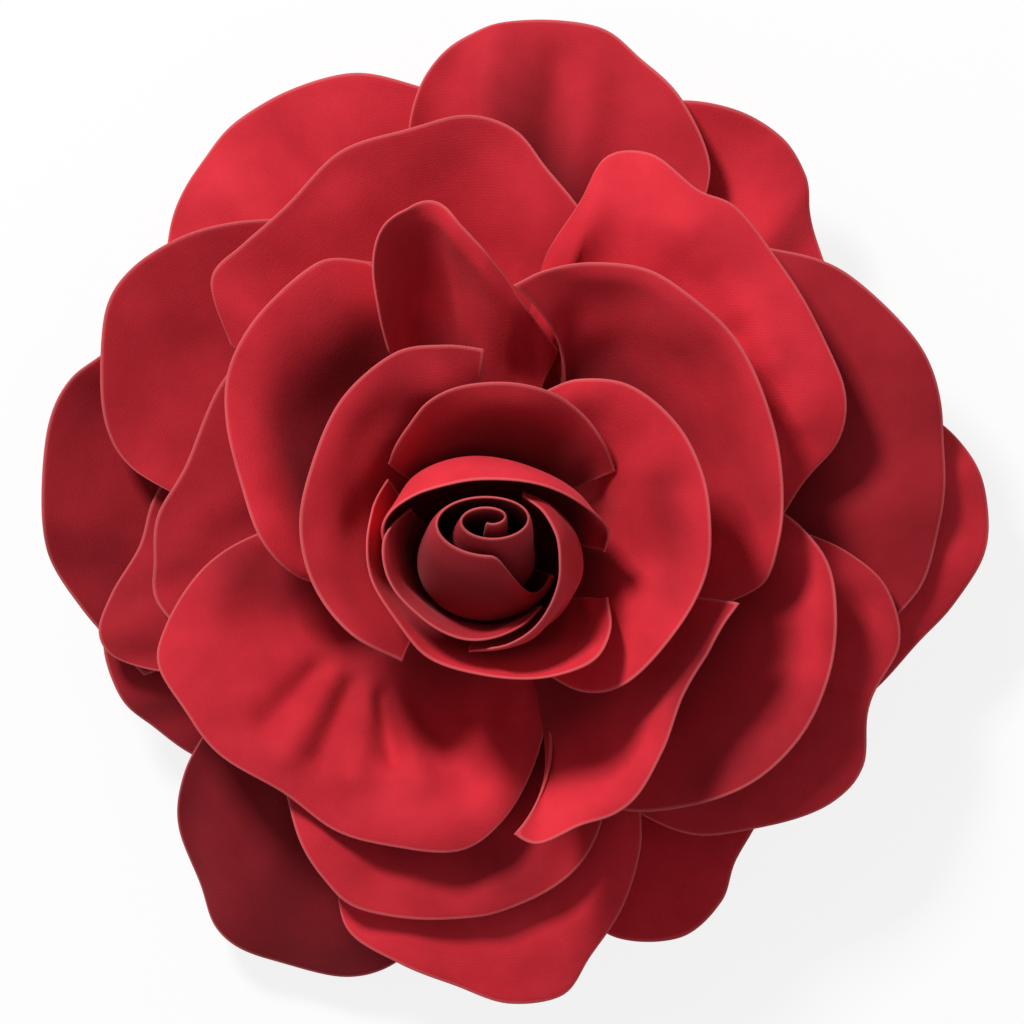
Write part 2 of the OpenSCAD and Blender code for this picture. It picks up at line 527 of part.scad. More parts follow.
module bud_roll() {
    steps = round(bud_turns * bud_facets);
    rows = [for (k = [0 : bud_rows])
        [for (i = [0 : steps]) bud_at(i / steps, k / bud_rows)]];
    color(cloth_red) on_flower_axis() sheet(rows, petal_t);
}

clip_upper_jaw();
clip_lower_jaw();
hinge_pin();
torsion_spring();
felt_pad();
felt_strap();
petal_core();
bud_plug();
bud_roll();
for (p = PETALS) petal(p);
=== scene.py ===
# %% [markdown]
# # A fabric rose on a hair clip
# The real thing is made of about thirty petals cut from stiffened red cloth.
# They are pressed into cups, glued by their roots round a small core, and the
# core is glued to a felt pad on a steel spring clip.
# Here the imported model is loaded first, as a frame that stays still. Every piece
# that is made below is placed in that frame, and all but the spring ride on one of
# its bodies.

# %% Load the frame
import math

import bpy
import numpy as np
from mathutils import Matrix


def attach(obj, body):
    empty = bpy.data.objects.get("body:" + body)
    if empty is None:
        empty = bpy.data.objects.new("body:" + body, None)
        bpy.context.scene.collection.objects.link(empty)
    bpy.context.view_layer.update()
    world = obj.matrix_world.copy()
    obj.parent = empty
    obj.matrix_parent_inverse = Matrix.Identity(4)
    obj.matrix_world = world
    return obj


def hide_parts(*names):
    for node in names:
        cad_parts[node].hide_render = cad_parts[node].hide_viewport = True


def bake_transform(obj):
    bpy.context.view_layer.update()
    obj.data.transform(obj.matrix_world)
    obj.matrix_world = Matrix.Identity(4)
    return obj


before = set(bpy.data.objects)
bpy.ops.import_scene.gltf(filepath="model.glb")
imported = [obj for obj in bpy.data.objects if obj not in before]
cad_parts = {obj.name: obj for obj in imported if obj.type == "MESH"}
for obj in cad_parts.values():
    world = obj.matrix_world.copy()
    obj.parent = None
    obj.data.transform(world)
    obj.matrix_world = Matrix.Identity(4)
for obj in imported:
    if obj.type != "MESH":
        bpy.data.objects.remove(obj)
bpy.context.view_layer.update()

MM = 0.001

# %% [markdown]
# ## The camera
# The photograph looks straight down on the open flower. A long lens far away
# keeps the petals' sizes true, as a product photographer would do. The view is
# 112.6 mm wide, so that one pixel of 1024 is 0.11 mm.

# %% Camera
VIEW_WIDTH = 112.64 * MM
VIEW_MIDDLE = (2.42 * MM, 2.84 * MM)
VIEW_HEIGHT = 14 * MM
CAMERA_DISTANCE = 1.5
SENSOR = 36.0

camera_data = bpy.data.cameras.new("camera")
camera_data.sensor_width = SENSOR
camera_data.lens = SENSOR * CAMERA_DISTANCE / VIEW_WIDTH
camera_data.clip_end = 20
camera = bpy.data.objects.new("camera", camera_data)
camera.location = (*VIEW_MIDDLE, VIEW_HEIGHT + CAMERA_DISTANCE)
bpy.context.scene.collection.objects.link(camera)
bpy.context.scene.camera = camera
bpy.context.scene.view_settings.view_transform = "Standard"
print("lens", round(camera_data.lens), "mm")

# %% [markdown]
# ## The light
# The shadows in the flower fall down and to the right, so the key light is above
# in the picture and a little to the left. It stands about 45 degrees over the
# table and is fairly small, because the shadows' edges are clear. The world fills
# the shadows. A lamp's power grows with the square of its distance, so that a
# white card facing it renders as the share KEY_LEVEL of full white.

# %% Key light and world
KEY_LEVEL = 1.0
KEY_DISTANCE = 0.9
KEY_TURN = math.radians(122)
KEY_RISE = math.radians(46)
KEY_SIZE = 0.16
FILL_LEVEL = 0.3


def lamp_at(name, level, distance, turn, rise, size):
    """A square lamp that faces the flower from a turn and a rise."""
    lamp = bpy.data.lights.new(name, "AREA")
    lamp.size = size
    lamp.energy = level * math.pi**2 * distance**2
    holder = bpy.data.objects.new(name, lamp)
    flat = distance * math.cos(rise)
    holder.location = (flat * math.cos(turn), flat * math.sin(turn), distance * math.sin(rise))
    holder.rotation_euler = (math.pi / 2 - rise, 0, turn + math.pi / 2)
    bpy.context.scene.collection.objects.link(holder)
    return holder


key_light = lamp_at("key_light", KEY_LEVEL, KEY_DISTANCE, KEY_TURN, KEY_RISE, KEY_SIZE)

world = bpy.data.worlds.new("studio")
bpy.context.scene.world = world
world.use_nodes = True
world_nodes = world.node_tree.nodes
world_links = world.node_tree.links
world_nodes.clear()
fill_light = world_nodes.new("ShaderNodeBackground")
fill_light.inputs["Color"].default_value = (1, 1, 1, 1)
fill_light.inputs["Strength"].default_value = FILL_LEVEL
seen_white = world_nodes.new("ShaderNodeBackground")
seen_white.inputs["Color"].default_value = (1, 1, 1, 1)
seen_white.inputs["Strength"].default_value = 1.0


def seen_rays(nodes, links):
    """1 for what the camera sees, directly or in a gloss or a glass, else 0."""
    path = nodes.new("ShaderNodeLightPath")
    total = None
    for ray in ("Is Camera Ray", "Is Glossy Ray", "Is Transmission Ray"):
        if total is None:
            total = path.outputs[ray]
            continue
        joined = nodes.new("ShaderNodeMath")
        joined.operation = "MAXIMUM"
        links.new(total, joined.inputs[0])
        links.new(path.outputs[ray], joined.inputs[1])
        total = joined.outputs[0]
    return total


world_mix = world_nodes.new("ShaderNodeMixShader")
world_out = world_nodes.new("ShaderNodeOutputWorld")
world_links.new(seen_rays(world_nodes, world_links), world_mix.inputs[0])
world_links.new(fill_light.outputs[0], world_mix.inputs[1])
world_links.new(seen_white.outputs[0], world_mix.inputs[2])
world_links.new(world_mix.outputs[0], world_out.inputs["Surface"])
print("key", round(key_light.data.energy, 2), "W")

# %% [markdown]
# ## The floor
# The photograph's background is plain white. The floor is a wide pale plane just
# under the clip. It takes the flower's shadow, and what the camera sees of it is
# mixed with plain white, so that it stays pale without more light.

# %% Floor
FLOOR_DROP = 0.4 * MM
FLOOR_WHITE = 0.85
FLOOR_SIZE = 6

bpy.ops.object.select_all(action="DESELECT")
bpy.ops.mesh.primitive_plane_add(size=FLOOR_SIZE, location=(0, 0, -FLOOR_DROP))
floor = bpy.context.active_object
floor.name = "floor"

floor_look = bpy.data.materials.new("floor_white")
floor_look.use_nodes = True
floor_nodes = floor_look.node_tree.nodes
floor_links = floor_look.node_tree.links
floor_nodes.clear()
floor_card = floor_nodes.new("ShaderNodeBsdfDiffuse")
floor_card.inputs["Color"].default_value = (0.9, 0.9, 0.9, 1)
floor_glow = floor_nodes.new("ShaderNodeEmission")
floor_glow.inputs["Color"].default_value = (1, 1, 1, 1)
floor_share = floor_nodes.new("ShaderNodeMath")
floor_share.operation = "MULTIPLY"
floor_share.inputs[1].default_value = FLOOR_WHITE
floor_mix = floor_nodes.new("ShaderNodeMixShader")
floor_out = floor_nodes.new("ShaderNodeOutputMaterial")
floor_links.new(seen_rays(floor_nodes, floor_links), floor_share.inputs[0])
floor_links.new(floor_share.outputs[0], floor_mix.inputs[0])
floor_links.new(floor_card.outputs[0], floor_mix.inputs[1])
floor_links.new(floor_glow.outputs[0], floor_mix.inputs[2])
floor_links.new(floor_mix.outputs[0], floor_out.inputs["Surface"])
floor.data.materials.append(floor_look)
print("floor at", -FLOOR_DROP, "m")

# %% [markdown]
# ## Finishes
# Each finish is a small graph of nodes. A few helpers keep the graphs short: one
# makes a material with its Principled shader, one adds a noise on the piece's own
# coordinates, one turns a value into two colours, and one makes a bump. They read
# the piece's own coordinates, so that a pattern stays put when the piece moves.

# %% Helpers for finishes
def new_look(name, roughness, metallic=0.0):
    """A material and its Principled shader."""
    look = bpy.data.materials.new(name)
    look.use_nodes = True
    shader = look.node_tree.nodes["Principled BSDF"]
    shader.inputs["Roughness"].default_value = roughness
    shader.inputs["Metallic"].default_value = metallic
    return look, shader


def place(look, uv_name=None):
    """The piece's own coordinates: its UV map in metres, or its place."""
    if uv_name:
        node = look.node_tree.nodes.new("ShaderNodeUVMap")
        node.uv_map = uv_name
        return node.outputs["UV"]
    return look.node_tree.nodes.new("ShaderNodeTexCoord").outputs["Object"]


def stretched(look, socket, scale):
    """The same place, scaled differently along each axis."""
    node = look.node_tree.nodes.new("ShaderNodeMapping")
    node.inputs["Scale"].default_value = scale
    look.node_tree.links.new(socket, node.inputs["Vector"])
    return node.outputs["Vector"]


def noise(look, socket, per_metre, detail=2.0, rough=0.5):
    """Soft noise, as many blobs a metre as given."""
    node = look.node_tree.nodes.new("ShaderNodeTexNoise")
    node.inputs["Scale"].default_value = per_metre
    node.inputs["Detail"].default_value = detail
    node.inputs["Roughness"].default_value = rough
    look.node_tree.links.new(socket, node.inputs["Vector"])
    return node.outputs["Fac"]


def two_colours(look, socket, low, high, start=0.3, end=0.7):
    """A ramp from one colour to another as a value rises."""
    node = look.node_tree.nodes.new("ShaderNodeValToRGB")
    node.color_ramp.elements[0].position = start
    node.color_ramp.elements[0].color = (*low, 1)
    node.color_ramp.elements[1].position = end
    node.color_ramp.elements[1].color = (*high, 1)
    look.node_tree.links.new(socket, node.inputs["Fac"])
    return node.outputs["Color"]


def mixed(look, share, low, high):
    """One colour over another, by a share from 0 to 1."""
    node = look.node_tree.nodes.new("ShaderNodeMix")
    node.data_type = "RGBA"
    look.node_tree.links.new(share, node.inputs[0])
    look.node_tree.links.new(low, node.inputs[6])
    if isinstance(high, tuple):
        node.inputs[7].default_value = (*high, 1)
    else:
        look.node_tree.links.new(high, node.inputs[7])
    return node.outputs[2]


def sums(look, operation, a, b):
    """Simple arithmetic on two values, each a socket or a number."""
    node = look.node_tree.nodes.new("ShaderNodeMath")
    node.operation = operation
    for slot, value in enumerate((a, b)):
        if isinstance(value, (int, float)):
            node.inputs[slot].default_value = value
        else:
            look.node_tree.links.new(value, node.inputs[slot])
    return node.outputs[0]


def bumped(look, shader, height, deep, strength=1.0):
    """Bump of a depth in metres on the shader's normal."""
    node = look.node_tree.nodes.new("ShaderNodeBump")
    node.inputs["Distance"].default_value = deep
    node.inputs["Strength"].default_value = strength
    look.node_tree.links.new(height, node.inputs["Height"])
    look.node_tree.links.new(node.outputs["Normal"], shader.inputs["Normal"])


def coloured(look, shader, socket):
    """The colour of the shader."""
    look.node_tree.links.new(socket, shader.inputs["Base Color"])


# %% [markdown]
# ### Petal cloth
# The petals are a brushed synthetic cloth, dyed red and stiffened. Its red is a
# little mottled. An attribute made with the cloth says how red each point is, and
# that is painted light and shade: darker towards the root of each petal, where
# shade falls in the hollows, darker on petals that lie in shadow and lighter on
# lit ones. Its nap has a soft red sheen, and its cut rim is paler: partly paler
# fibres at the edge, partly a painted highlight where the edge catches the light.
# The weave is so fine that only a trace of it shows.

# %% Petal cloth
RED_MOTTLE = ((0.53, 0.013, 0.025), (0.67, 0.022, 0.038))
# The deep red that the painted shade goes to.
PAINTED_SHADE_MOTTLE = ((0.10, 0.003, 0.006), (0.13, 0.004, 0.008))
NAP_RED = (0.66, 0.05, 0.07)
NAP_SHARE = 0.22
# Share of the red given by the redness attribute, which carries painted light and shade.
DYE_AND_SHADE_SHARE = 0.8
# Pale rim: partly paler fibres, partly a painted highlight where the cut edge catches the
# light.
RIM_PALE_AND_HIGHLIGHT = (0.62, 0.12, 0.13)
RIM_BAND = (0.3, 0.05)
RIM_SHARE = 0.6
WEAVE_WAVES = 900
WEAVE_SHARE = 0.3
NAP_DEEP = 0.05 * MM


def attribute(look, name):
    """A value that the cloth carries at each of its points."""
    node = look.node_tree.nodes.new("ShaderNodeAttribute")
    node.attribute_name = name
    return node.outputs["Fac"]


def rim_band(look):
    """How much of the pale rim and its painted highlight shows, by the distance from the cut
    edge.
    """
    band = look.node_tree.nodes.new("ShaderNodeMapRange")
    band.inputs["From Min"].default_value = RIM_BAND[0]
    band.inputs["From Max"].default_value = RIM_BAND[1]
    band.inputs["To Max"].default_value = RIM_SHARE
    look.node_tree.links.new(attribute(look, "edge_mm"), band.inputs["Value"])
    return band.outputs[0]


def weave(look):
    """Threads along the cloth and across it, from its own flat coordinates."""
    flat_place = place(look, "cloth")
    threads = []
    for direction in ("X", "Y"):
        wave = look.node_tree.nodes.new("ShaderNodeTexWave")
        wave.bands_direction = direction
        wave.inputs["Scale"].default_value = WEAVE_WAVES
        look.node_tree.links.new(flat_place, wave.inputs["Vector"])
        threads.append(wave.outputs["Fac"])
    return sums(look, "MULTIPLY", *threads)


def petal_cloth_look():
    """Dyed and brushed cloth with painted light and shade, and a pale cut edge with a painted
    highlight.
    """
    look, shader = new_look("petal_cloth", 0.85)
    spot = place(look)
    mottle = noise(look, spot, 110, 3.0, 0.6)
    red = two_colours(look, mottle, *RED_MOTTLE, 0.35, 0.66)
    nap = noise(look, spot, 5200, 2.0, 0.7)
    red = mixed(look, sums(look, "MULTIPLY", nap, NAP_SHARE), red, NAP_RED)
    # The deep red is painted shade: the redness attribute mixes it in near the roots and on
    # petals in shadow, and its highest values paint light.
    deep = two_colours(look, mottle, *PAINTED_SHADE_MOTTLE, 0.35, 0.66)
    red = mixed(look, sums(look, "MULTIPLY", attribute(look, "dye_and_light"), DYE_AND_SHADE_SHARE), deep, red)
    # The pale rim, partly a painted highlight along the cut edge.
    coloured(look, shader, mixed(look, rim_band(look), red, RIM_PALE_AND_HIGHLIGHT))
    fuzz = noise(look, spot, 2600, 3.0, 0.7)
    height = sums(look, "ADD", sums(look, "MULTIPLY", weave(look), WEAVE_SHARE), fuzz)
    bumped(look, shader, height, NAP_DEEP, 0.7)
    shader.inputs["Specular IOR Level"].default_value = 0.18
    shader.inputs["Sheen Weight"].default_value = 0.14
    shader.inputs["Sheen Roughness"].default_value = 0.5
    shader.inputs["Sheen Tint"].default_value = (0.9, 0.2, 0.22, 1)
    return look


petal_cloth = petal_cloth_look()
print("made", petal_cloth.name)

# %% [markdown]
# ### Felt, steel and core
# Felt is matted fibre, so its finish is noise at two sizes with a bump. The
# clip's steel is rolled sheet, with faint lines along the jaw. The core is cast
# plastic and the plug on it is foam. The petals hide both.

# %% Felt
def felt_look():
    """Matted dyed fibre: tufts, and finer hairs across them."""
    look, shader = new_look("felt", 0.95)
    spot = place(look)
    tufts = noise(look, spot, 900, 4.0, 0.7)
    hairs = noise(look, stretched(look, spot, (1, 3.5, 1)), 2400, 3.0, 0.7)
    coloured(look, shader, two_colours(look, tufts, (0.10, 0.006, 0.010), (0.22, 0.014, 0.022)))
    bumped(look, shader, sums(look, "ADD", tufts, hairs), 0.12 * MM, 0.8)
    shader.inputs["Sheen Weight"].default_value = 0.35
    shader.inputs["Sheen Roughness"].default_value = 0.6
    shader.inputs["Sheen Tint"].default_value = (1.0, 0.5, 0.52, 1)
    shader.inputs["Specular IOR Level"].default_value = 0.15
    return look


felt = felt_look()
print("made", felt.name)


# %% Steel, in three finishes
def steel_look(name, dark, light, roughness, line_scale):
    """Rolled steel with lines along the clip, or drawn wire."""
    look, shader = new_look(name, roughness, 1.0)
    spot = place(look)
    lines = noise(look, stretched(look, spot, line_scale), 900, 4.0, 0.6)
    smudge = noise(look, spot, 160, 2.0, 0.5)
    handled = sums(look, "MULTIPLY", lines, smudge)
    coloured(look, shader, two_colours(look, handled, dark, light, 0.1, 0.5))
    rough = sums(look, "ADD", sums(look, "MULTIPLY", lines, 0.18), roughness - 0.09)
    look.node_tree.links.new(rough, shader.inputs["Roughness"])
    bumped(look, shader, lines, 0.01 * MM, 0.4)
    return look


clip_steel = steel_look("clip_steel", (0.42, 0.42, 0.43), (0.66, 0.66, 0.68), 0.3, (6, 0.4, 6))
pin_steel = steel_look("pin_steel", (0.36, 0.36, 0.37), (0.58, 0.58, 0.6), 0.34, (1, 1, 1))
spring_steel = steel_look("spring_steel", (0.3, 0.3, 0.32), (0.52, 0.52, 0.55), 0.26, (1, 1, 1))
print("made", clip_steel.name, pin_steel.name, spring_steel.name)


# %% Core plastic and foam
def core_look(name, dark, light, roughness, cells, deep):
    """Cast plastic or foam, with a grain of so many cells a metre."""
    look, shader = new_look(name, roughness)
    spot = place(look)
    grain = noise(look, spot, cells, 3.0, 0.6)
    coloured(look, shader, two_colours(look, grain, dark, light))
    bumped(look, shader, grain, deep, 0.6)
    return look


core_plastic = core_look(
    "core_plastic", (0.22, 0.012, 0.018), (0.27, 0.016, 0.024), 0.45, 1400, 0.02 * MM)
core_foam = core_look(
    "core_foam", (0.30, 0.014, 0.022), (0.4, 0.02, 0.03), 0.9, 2200, 0.15 * MM)
print("made", core_plastic.name, core_foam.name)


# %% [markdown]
# ## The petals' shapes
# A cloth petal on this flower is glued by its root to the core, runs out to its
# belly, turns up and ends in a rim that leans in or out. It could be sculpted by
# hand, but thirty petals would then drift from the solids that they stand for.
# So each petal here is the same smooth surface as its solid, from the same few
# points along its rim, drawn with many more points, so that folds and ripples
# can be pressed in afterwards.

# %% The flower's measures, in millimetres
CLIP_HEIGHT = 8.6
FELT_THICK = 1.5
PAD_TOP = CLIP_HEIGHT + FELT_THICK
FLOWER_Y = -2.0
FLOWER_HEIGHT = 39.0
CORE_FOOT_R = 8.0
CORE_TOP_R = 3.2
CORE_HEIGHT = 13.4
CORE_CLOTH_GAP = 0.35
ROOT_SHARE = 0.5
RIM_PULL = 0.34
CLIMB_PULL = 0.3
LEAN_IN_PULL = 0.15
CLOTH_THICK = 0.26
print("pad top at", PAD_TOP, "mm")

# %% Rims of the petals
# Each petal: name, height of its root on the core, angle at which it leaves the
# core, share of the way out at which its belly turns up, and its rim as
# [x, y, height above the pad, angle of the cloth there].
PETALS = [
    ["outer_petal_1", 1.1, 0, 0.4, [[-41, -5, 2, -5], [-42.5, -10, 0.6, -14],
        [-40.5, -15.5, -1, -26], [-37, -19, -2.2, -32], [-33.5, -21.5, -2.8, -32],
        [-29, -24, -2.8, -28]]],
    ["outer_petal_2", 1.8, 4, 0.4, [[-30, -17, 3.2, -5], [-33.5, -23.5, 0.6, -20],
        [-34.5, -30, -2.4, -32], [-32.5, -36, -4.2, -38], [-30, -41, -5.2, -40],
        [-24, -44.5, -5.8, -40], [-16, -46.5, -5.4, -38], [-10, -44.5, -3.6, -30],
        [-5, -39, 0, -10]]],
    ["outer_petal_3", 1.1, 4, 0.4, [[8, -38, 1.4, 0], [14, -42, 1, 4],
        [21, -42, 0.6, 8], [25.5, -38, 0.8, 10], [27, -33.5, 1, 8],
        [29.5, -29, 1.4, 4], [32, -23, 2, 0]]],
    ["outer_petal_4", 1.1, 6, 0.4, [[36, -18, 2, -5], [42, -15, 1.6, -12],
        [47.5, -9, 1.4, -20], [51, -5, 1.2, -26], [54, 0, 0.8, -32],
        [55, 5, 0.6, -36], [54, 9.5, 0.8, -36], [51, 13.5, 1.6, -25],
        [46, 17, 2.6, -8]]],
    ["outer_petal_5", 2.5, 9, 0.4, [[39, 26, 2, -10], [36.5, 33.5, 1.6, -22],
        [35, 38, 1.8, -25], [34.5, 42, 2.4, -20], [32, 46, 4, 0],
        [27, 49, 5.4, 18], [21, 50, 5.6, 22], [15, 48, 5, 15]]],
    ["outer_petal_6", 1.1, 10, 0.4, [[-1, 49, 4.5, 5], [-8, 51.5, 5.2, 8],
        [-15, 53, 4.8, 0], [-22, 51, 3.6, -15], [-28, 47.5, 2.2, -26],
        [-32, 42.5, 1.4, -28], [-35, 37, 1.6, -24], [-36, 30, 2.8, -10]]],
    ["outer_petal_7", 1.8, 6, 0.4, [[-37, 26, 6.5, 14], [-42, 22.5, 8, 28],
        [-46, 19.5, 9.2, 36], [-48.5, 14, 9.6, 40], [-49.2, 6, 8.8, 38],
        [-48.5, 1, 7.4, 32], [-46, -4, 5.2, 20], [-43, -8, 3.2, 0],
        [-38, -13, 2.6, -6]]],
    ["second_petal_1", 2.6, 9, 0.45, [[-34, 11, 6, 5], [-37, 6, 6, 0],
        [-38.5, 1, 5.6, -5], [-41.5, -4, 5, -12], [-43, -8, 5, -15],
        [-41.5, -11, 4.8, -12], [-37, -12.5, 4.8, -5], [-32, -13, 5.4, 0]]],
    ["second_petal_2", 3.3, 7, 0.45, [[23, 37, 8, 12], [24, 43, 8.4, 14],
        [21, 50, 8, 12], [16.5, 54.5, 7, 0], [12, 58, 5.8, -18],
        [4, 58.6, 5.8, -18], [-2.5, 57, 6.6, -4], [-6.5, 53.5, 7.4, 6],
        [-8.7, 48, 7.8, 8], [-9, 41, 7.6, 5]]],
    ["second_petal_3", 3.3, 7, 0.45, [[43, -8, 4.8, -8], [47.5, -3, 5, -16],
        [49.5, 4, 5.6, -22], [50, 11, 5.4, -25], [49.5, 17, 5.4, -25],
        [47, 23, 6, -20], [41, 29.5, 7, -10], [36, 32.5, 7.6, -5],
        [29, 34, 8, 0]]],
    ["second_petal_4", 4, 10, 0.45, [[13, -25, 8, 0], [17, -28.5, 7.6, -8],
        [23, -30.5, 7, -16], [30, -29.5, 6.4, -20], [37.5, -27, 6.2, -22],
        [41, -23, 6.6, -20], [41.5, -16, 8, -12], [45, -9.5, 7.4, -20],
        [43.5, -3.5, 7.8, -16], [39, 0.5, 8.8, -8], [33, 3, 8.8, 0]]],
    ["second_petal_5", 3.3, 3, 0.45, [[-22, 37, 10, 14], [-28, 36.5, 10.6, 20],
        [-34, 34.5, 10.8, 24], [-39, 31.5, 10.8, 26], [-42, 27, 10.8, 26],
        [-42.7, 20, 10.4, 24], [-42, 14, 9.8, 18], [-39, 9.5, 9.4, 8],
        [-33, 6, 9.2, 0]]],
    ["second_petal_6", 2.6, 8, 0.45, [[-19, -26, 7.6, 5], [-17, -35, 7.6, 0],
        [-15.5, -41, 7.4, -5], [-10, -44.5, 7.2, -8], [-4, -47, 6.6, -14],
        [2, -49, 5.6, -18], [8, -48.3, 5, -20], [11, -44, 5.2, -14],
        [14.5, -38.5, 6, -5], [16.5, -32, 6.6, 0], [16.5, -26, 7, 5]]],
    ["third_petal_1", 3.3, 9, 0.5, [[-23, -22, 10.6, 5], [-21, -30.5, 11, 0],
        [-18, -35.5, 11, -5], [-14.5, -38.5, 10.8, -8], [-8, -39.7, 10.2, -8],
        [-1, -39.2, 9.6, -6], [5.5, -37, 9.2, -4], [10, -33.5, 9, 0],
        [12.5, -28, 9, 0], [13, -21, 9, 5]]],
    ["third_petal_2", 4, 7, 0.5, [[13, 33, 14, 10], [9.5, 38.5, 15, 14],
        [6, 42.5, 15.4, 16], [2.5, 46.5, 15.4, 18], [-3, 48, 15.4, 20],
        [-9.5, 46.5, 15.4, 22], [-16.5, 44, 15.2, 22], [-22, 38.5, 14.8, 20],
        [-27, 34, 14.2, 14], [-30.5, 30, 13, 0], [-28.5, 23, 11, 0]]],
    ["third_petal_3", 4.7, 8, 0.5, [[-25, 24, 14.5, 10], [-29.5, 18.5, 13.5, 12],
        [-33, 10, 12.5, 12], [-36.3, 4.5, 11.4, 8], [-36.7, -0.5, 10.2, 2],
        [-36.4, -5, 9.4, -4], [-32, -10, 9.4, 5]]],
    ["third_petal_4", 4.7, 5, 0.5, [[30, 1, 9.8, 0], [34, 7.5, 12.4, -5],
        [38, 12.5, 14, -15], [38.5, 18, 14.4, -22], [36, 24.5, 15, -22],
        [32, 31.5, 15.4, -20], [27, 38, 15.4, -22], [22.5, 40, 15.6, -24],
        [17.5, 44, 14.6, -30], [13, 43.5, 14.6, -30], [10, 38.5, 15.6, -15],
        [6, 32.5, 14.6, 0], [4, 26, 11, 5]]],
    ["third_petal_5", 5.4, 4, 0.5, [[8, -23, 11, 0], [14, -27.5, 12.4, 0],
        [22, -27.2, 12.6, 4], [29, -24.5, 12.8, 8], [34, -19.5, 13.6, 14],
        [37, -13, 15, 20], [37.7, -6, 16, 24], [36.5, 0, 15.6, 22],
        [33, 4, 14.6, 10], [27, 7, 12.5, 0]]],
    ["inner_petal_1", 7.2, 5, 0.6, [[24, -6, 12, 0], [29.5, -3.2, 16.5, 20],
        [31.7, 1.5, 19.8, 40], [31.4, 7, 21, 45], [30.2, 13.5, 22, 46],
        [28, 20, 22.8, 48], [24, 26, 23.2, 48], [18, 30.5, 23.2, 46],
        [11, 31.5, 22.8, 44], [6, 30.9, 22.6, 42], [2.7, 29.2, 22, 40]]],
    ["inner_petal_2", 5.5, 4, 0.55, [[-17, 3.5, 8.5, 0], [-25, 2.5, 11.4, 0],
        [-31, -1, 12, -6], [-35.5, -7.5, 11.8, -16], [-36.3, -12, 12, -20],
        [-33, -17, 12.6, -20], [-29.5, -21.5, 13, -18], [-23, -25.5, 13.4, -16],
        [-17, -30, 13.6, -16], [-10, -31.7, 14.6, -14], [-3, -32, 15.2, -10],
        [1.5, -28.5, 14.4, -4], [5, -22, 10.8, 0], [7, -13, 9, 0]]],
    ["inner_petal_3", 6.6, 4, 0.6, [[7.4, 22.5, 12, 30], [4.8, 26, 16, 38],
        [2.4, 28.9, 20, 42], [-0.4, 31.9, 23, 46], [-3.6, 35.4, 24, 50],
        [-6, 37.6, 24, 52], [-8.8, 37.8, 24, 54], [-11.2, 35.6, 24, 54],
        [-12.2, 31, 23.2, 52], [-12, 26.5, 21.6, 50], [-11, 22.5, 19, 48]]],
    ["inner_petal_4", 6.0, 2, 0.6, [[-13, 32, 18.5, 10], [-18.5, 32, 21, 14],
        [-24.5, 27, 21.6, 16], [-28, 21, 21.4, 16], [-28.5, 14.5, 21.2, 14],
        [-27, 8, 21, 12], [-25, 2, 20.6, 10], [-21, -2, 18.5, 5],
        [-15, -4, 12.5, 0]]],
    ["inner_petal_5", 7.6, 12, 0.6, [
        [2.7, -30.2, 20.2, 34], [5.4, -31, 20.4, 34], [10, -28.8, 20.8, 34],
        [15, -26, 21.2, 36], [18.5, -21, 21.6, 38], [20.5, -15, 22, 38],
        [23.6, -10, 22.6, 36], [27.2, -5.2, 23, 34]]],
    ["cup_petal_1", 8, 42, 0.45, [[-0.7, 22.4, 26, 14], [-5, 22.9, 26.5, 14],
        [-10.5, 22, 26.5, 14], [-16, 17, 26, 12], [-19.5, 9, 25.5, 10],
        [-20.5, 3, 25.5, 10], [-19, -3, 26, 12], [-15, -8.5, 26, 16],
        [-9.6, -11.3, 23.8, 20]]],
    ["cup_petal_2", 8.6, 38, 0.5, [[5.5, -12.2, 17.5, 20], [10, -14.6, 22, 26],
        [14.5, -13.8, 24, 28], [18.5, -10, 25.4, 30], [22, -5, 26.4, 30],
        [24, 1, 27.2, 28], [23.5, 7.5, 28, 22], [20.5, 14, 28, 18],
        [15, 18.5, 28, 15], [9, 19, 27.4, 15], [5, 17.4, 24, 20]]],
    ["cup_petal_3", 9.4, 38, 0.66, [[-11.3, 8.3, 22.5, 60], [-12.8, 5.2, 27, 62],
        [-13.3, 1.5, 29.5, 64], [-12.3, -3.6, 30, 62], [-8.8, -8.6, 30, 60],
        [-4.9, -11.2, 29.8, 58], [1.7, -12.8, 29.6, 52], [7.5, -13, 29.2, 44],
        [11.4, -11.4, 28.2, 40], [13.3, -8, 25.5, 40], [12.8, -4.5, 21.5, 40]]],
    ["cup_petal_4", 9.6, 45, 0.45, [[13.4, 9, 22.8, 40], [12.4, 12, 25.4, 36],
        [10.2, 15.1, 27.4, 32], [6.5, 17.8, 29.4, 28], [2, 19, 30.2, 28],
        [-3, 18.5, 30.2, 28], [-6.6, 16.8, 30, 30], [-8.8, 14.1, 28.6, 34],
        [-10.3, 11.8, 26.4, 38], [-10.9, 10, 24, 40]]],
    ["bud_petal_1", 10.2, 45, 0.5, [[12.6, 0.6, 23.5, 85], [12.6, 3.2, 28, 92],
        [9.8, 5.4, 31.6, 112], [5.9, 7.1, 33.4, 124], [1.7, 8.1, 34.2, 130],
        [-2.9, 8.4, 34.4, 130], [-7, 7.6, 33.8, 126], [-9.8, 5.6, 32.6, 112],
        [-11.6, 3.2, 31.2, 98], [-11.4, 0.8, 28.6, 92]]],
    ["bud_petal_2", 11.8, 30, 0.8, [[-8.6, 5.2, 27, 80], [-10.2, 3.4, 30.5, 74],
        [-10.9, 1.2, 32.2, 68], [-10.5, -2.2, 32.6, 66], [-9, -5.1, 32.6, 66],
        [-6.2, -7.7, 32.4, 68], [-2.9, -8.9, 32, 72], [0.6, -8.7, 31, 76],
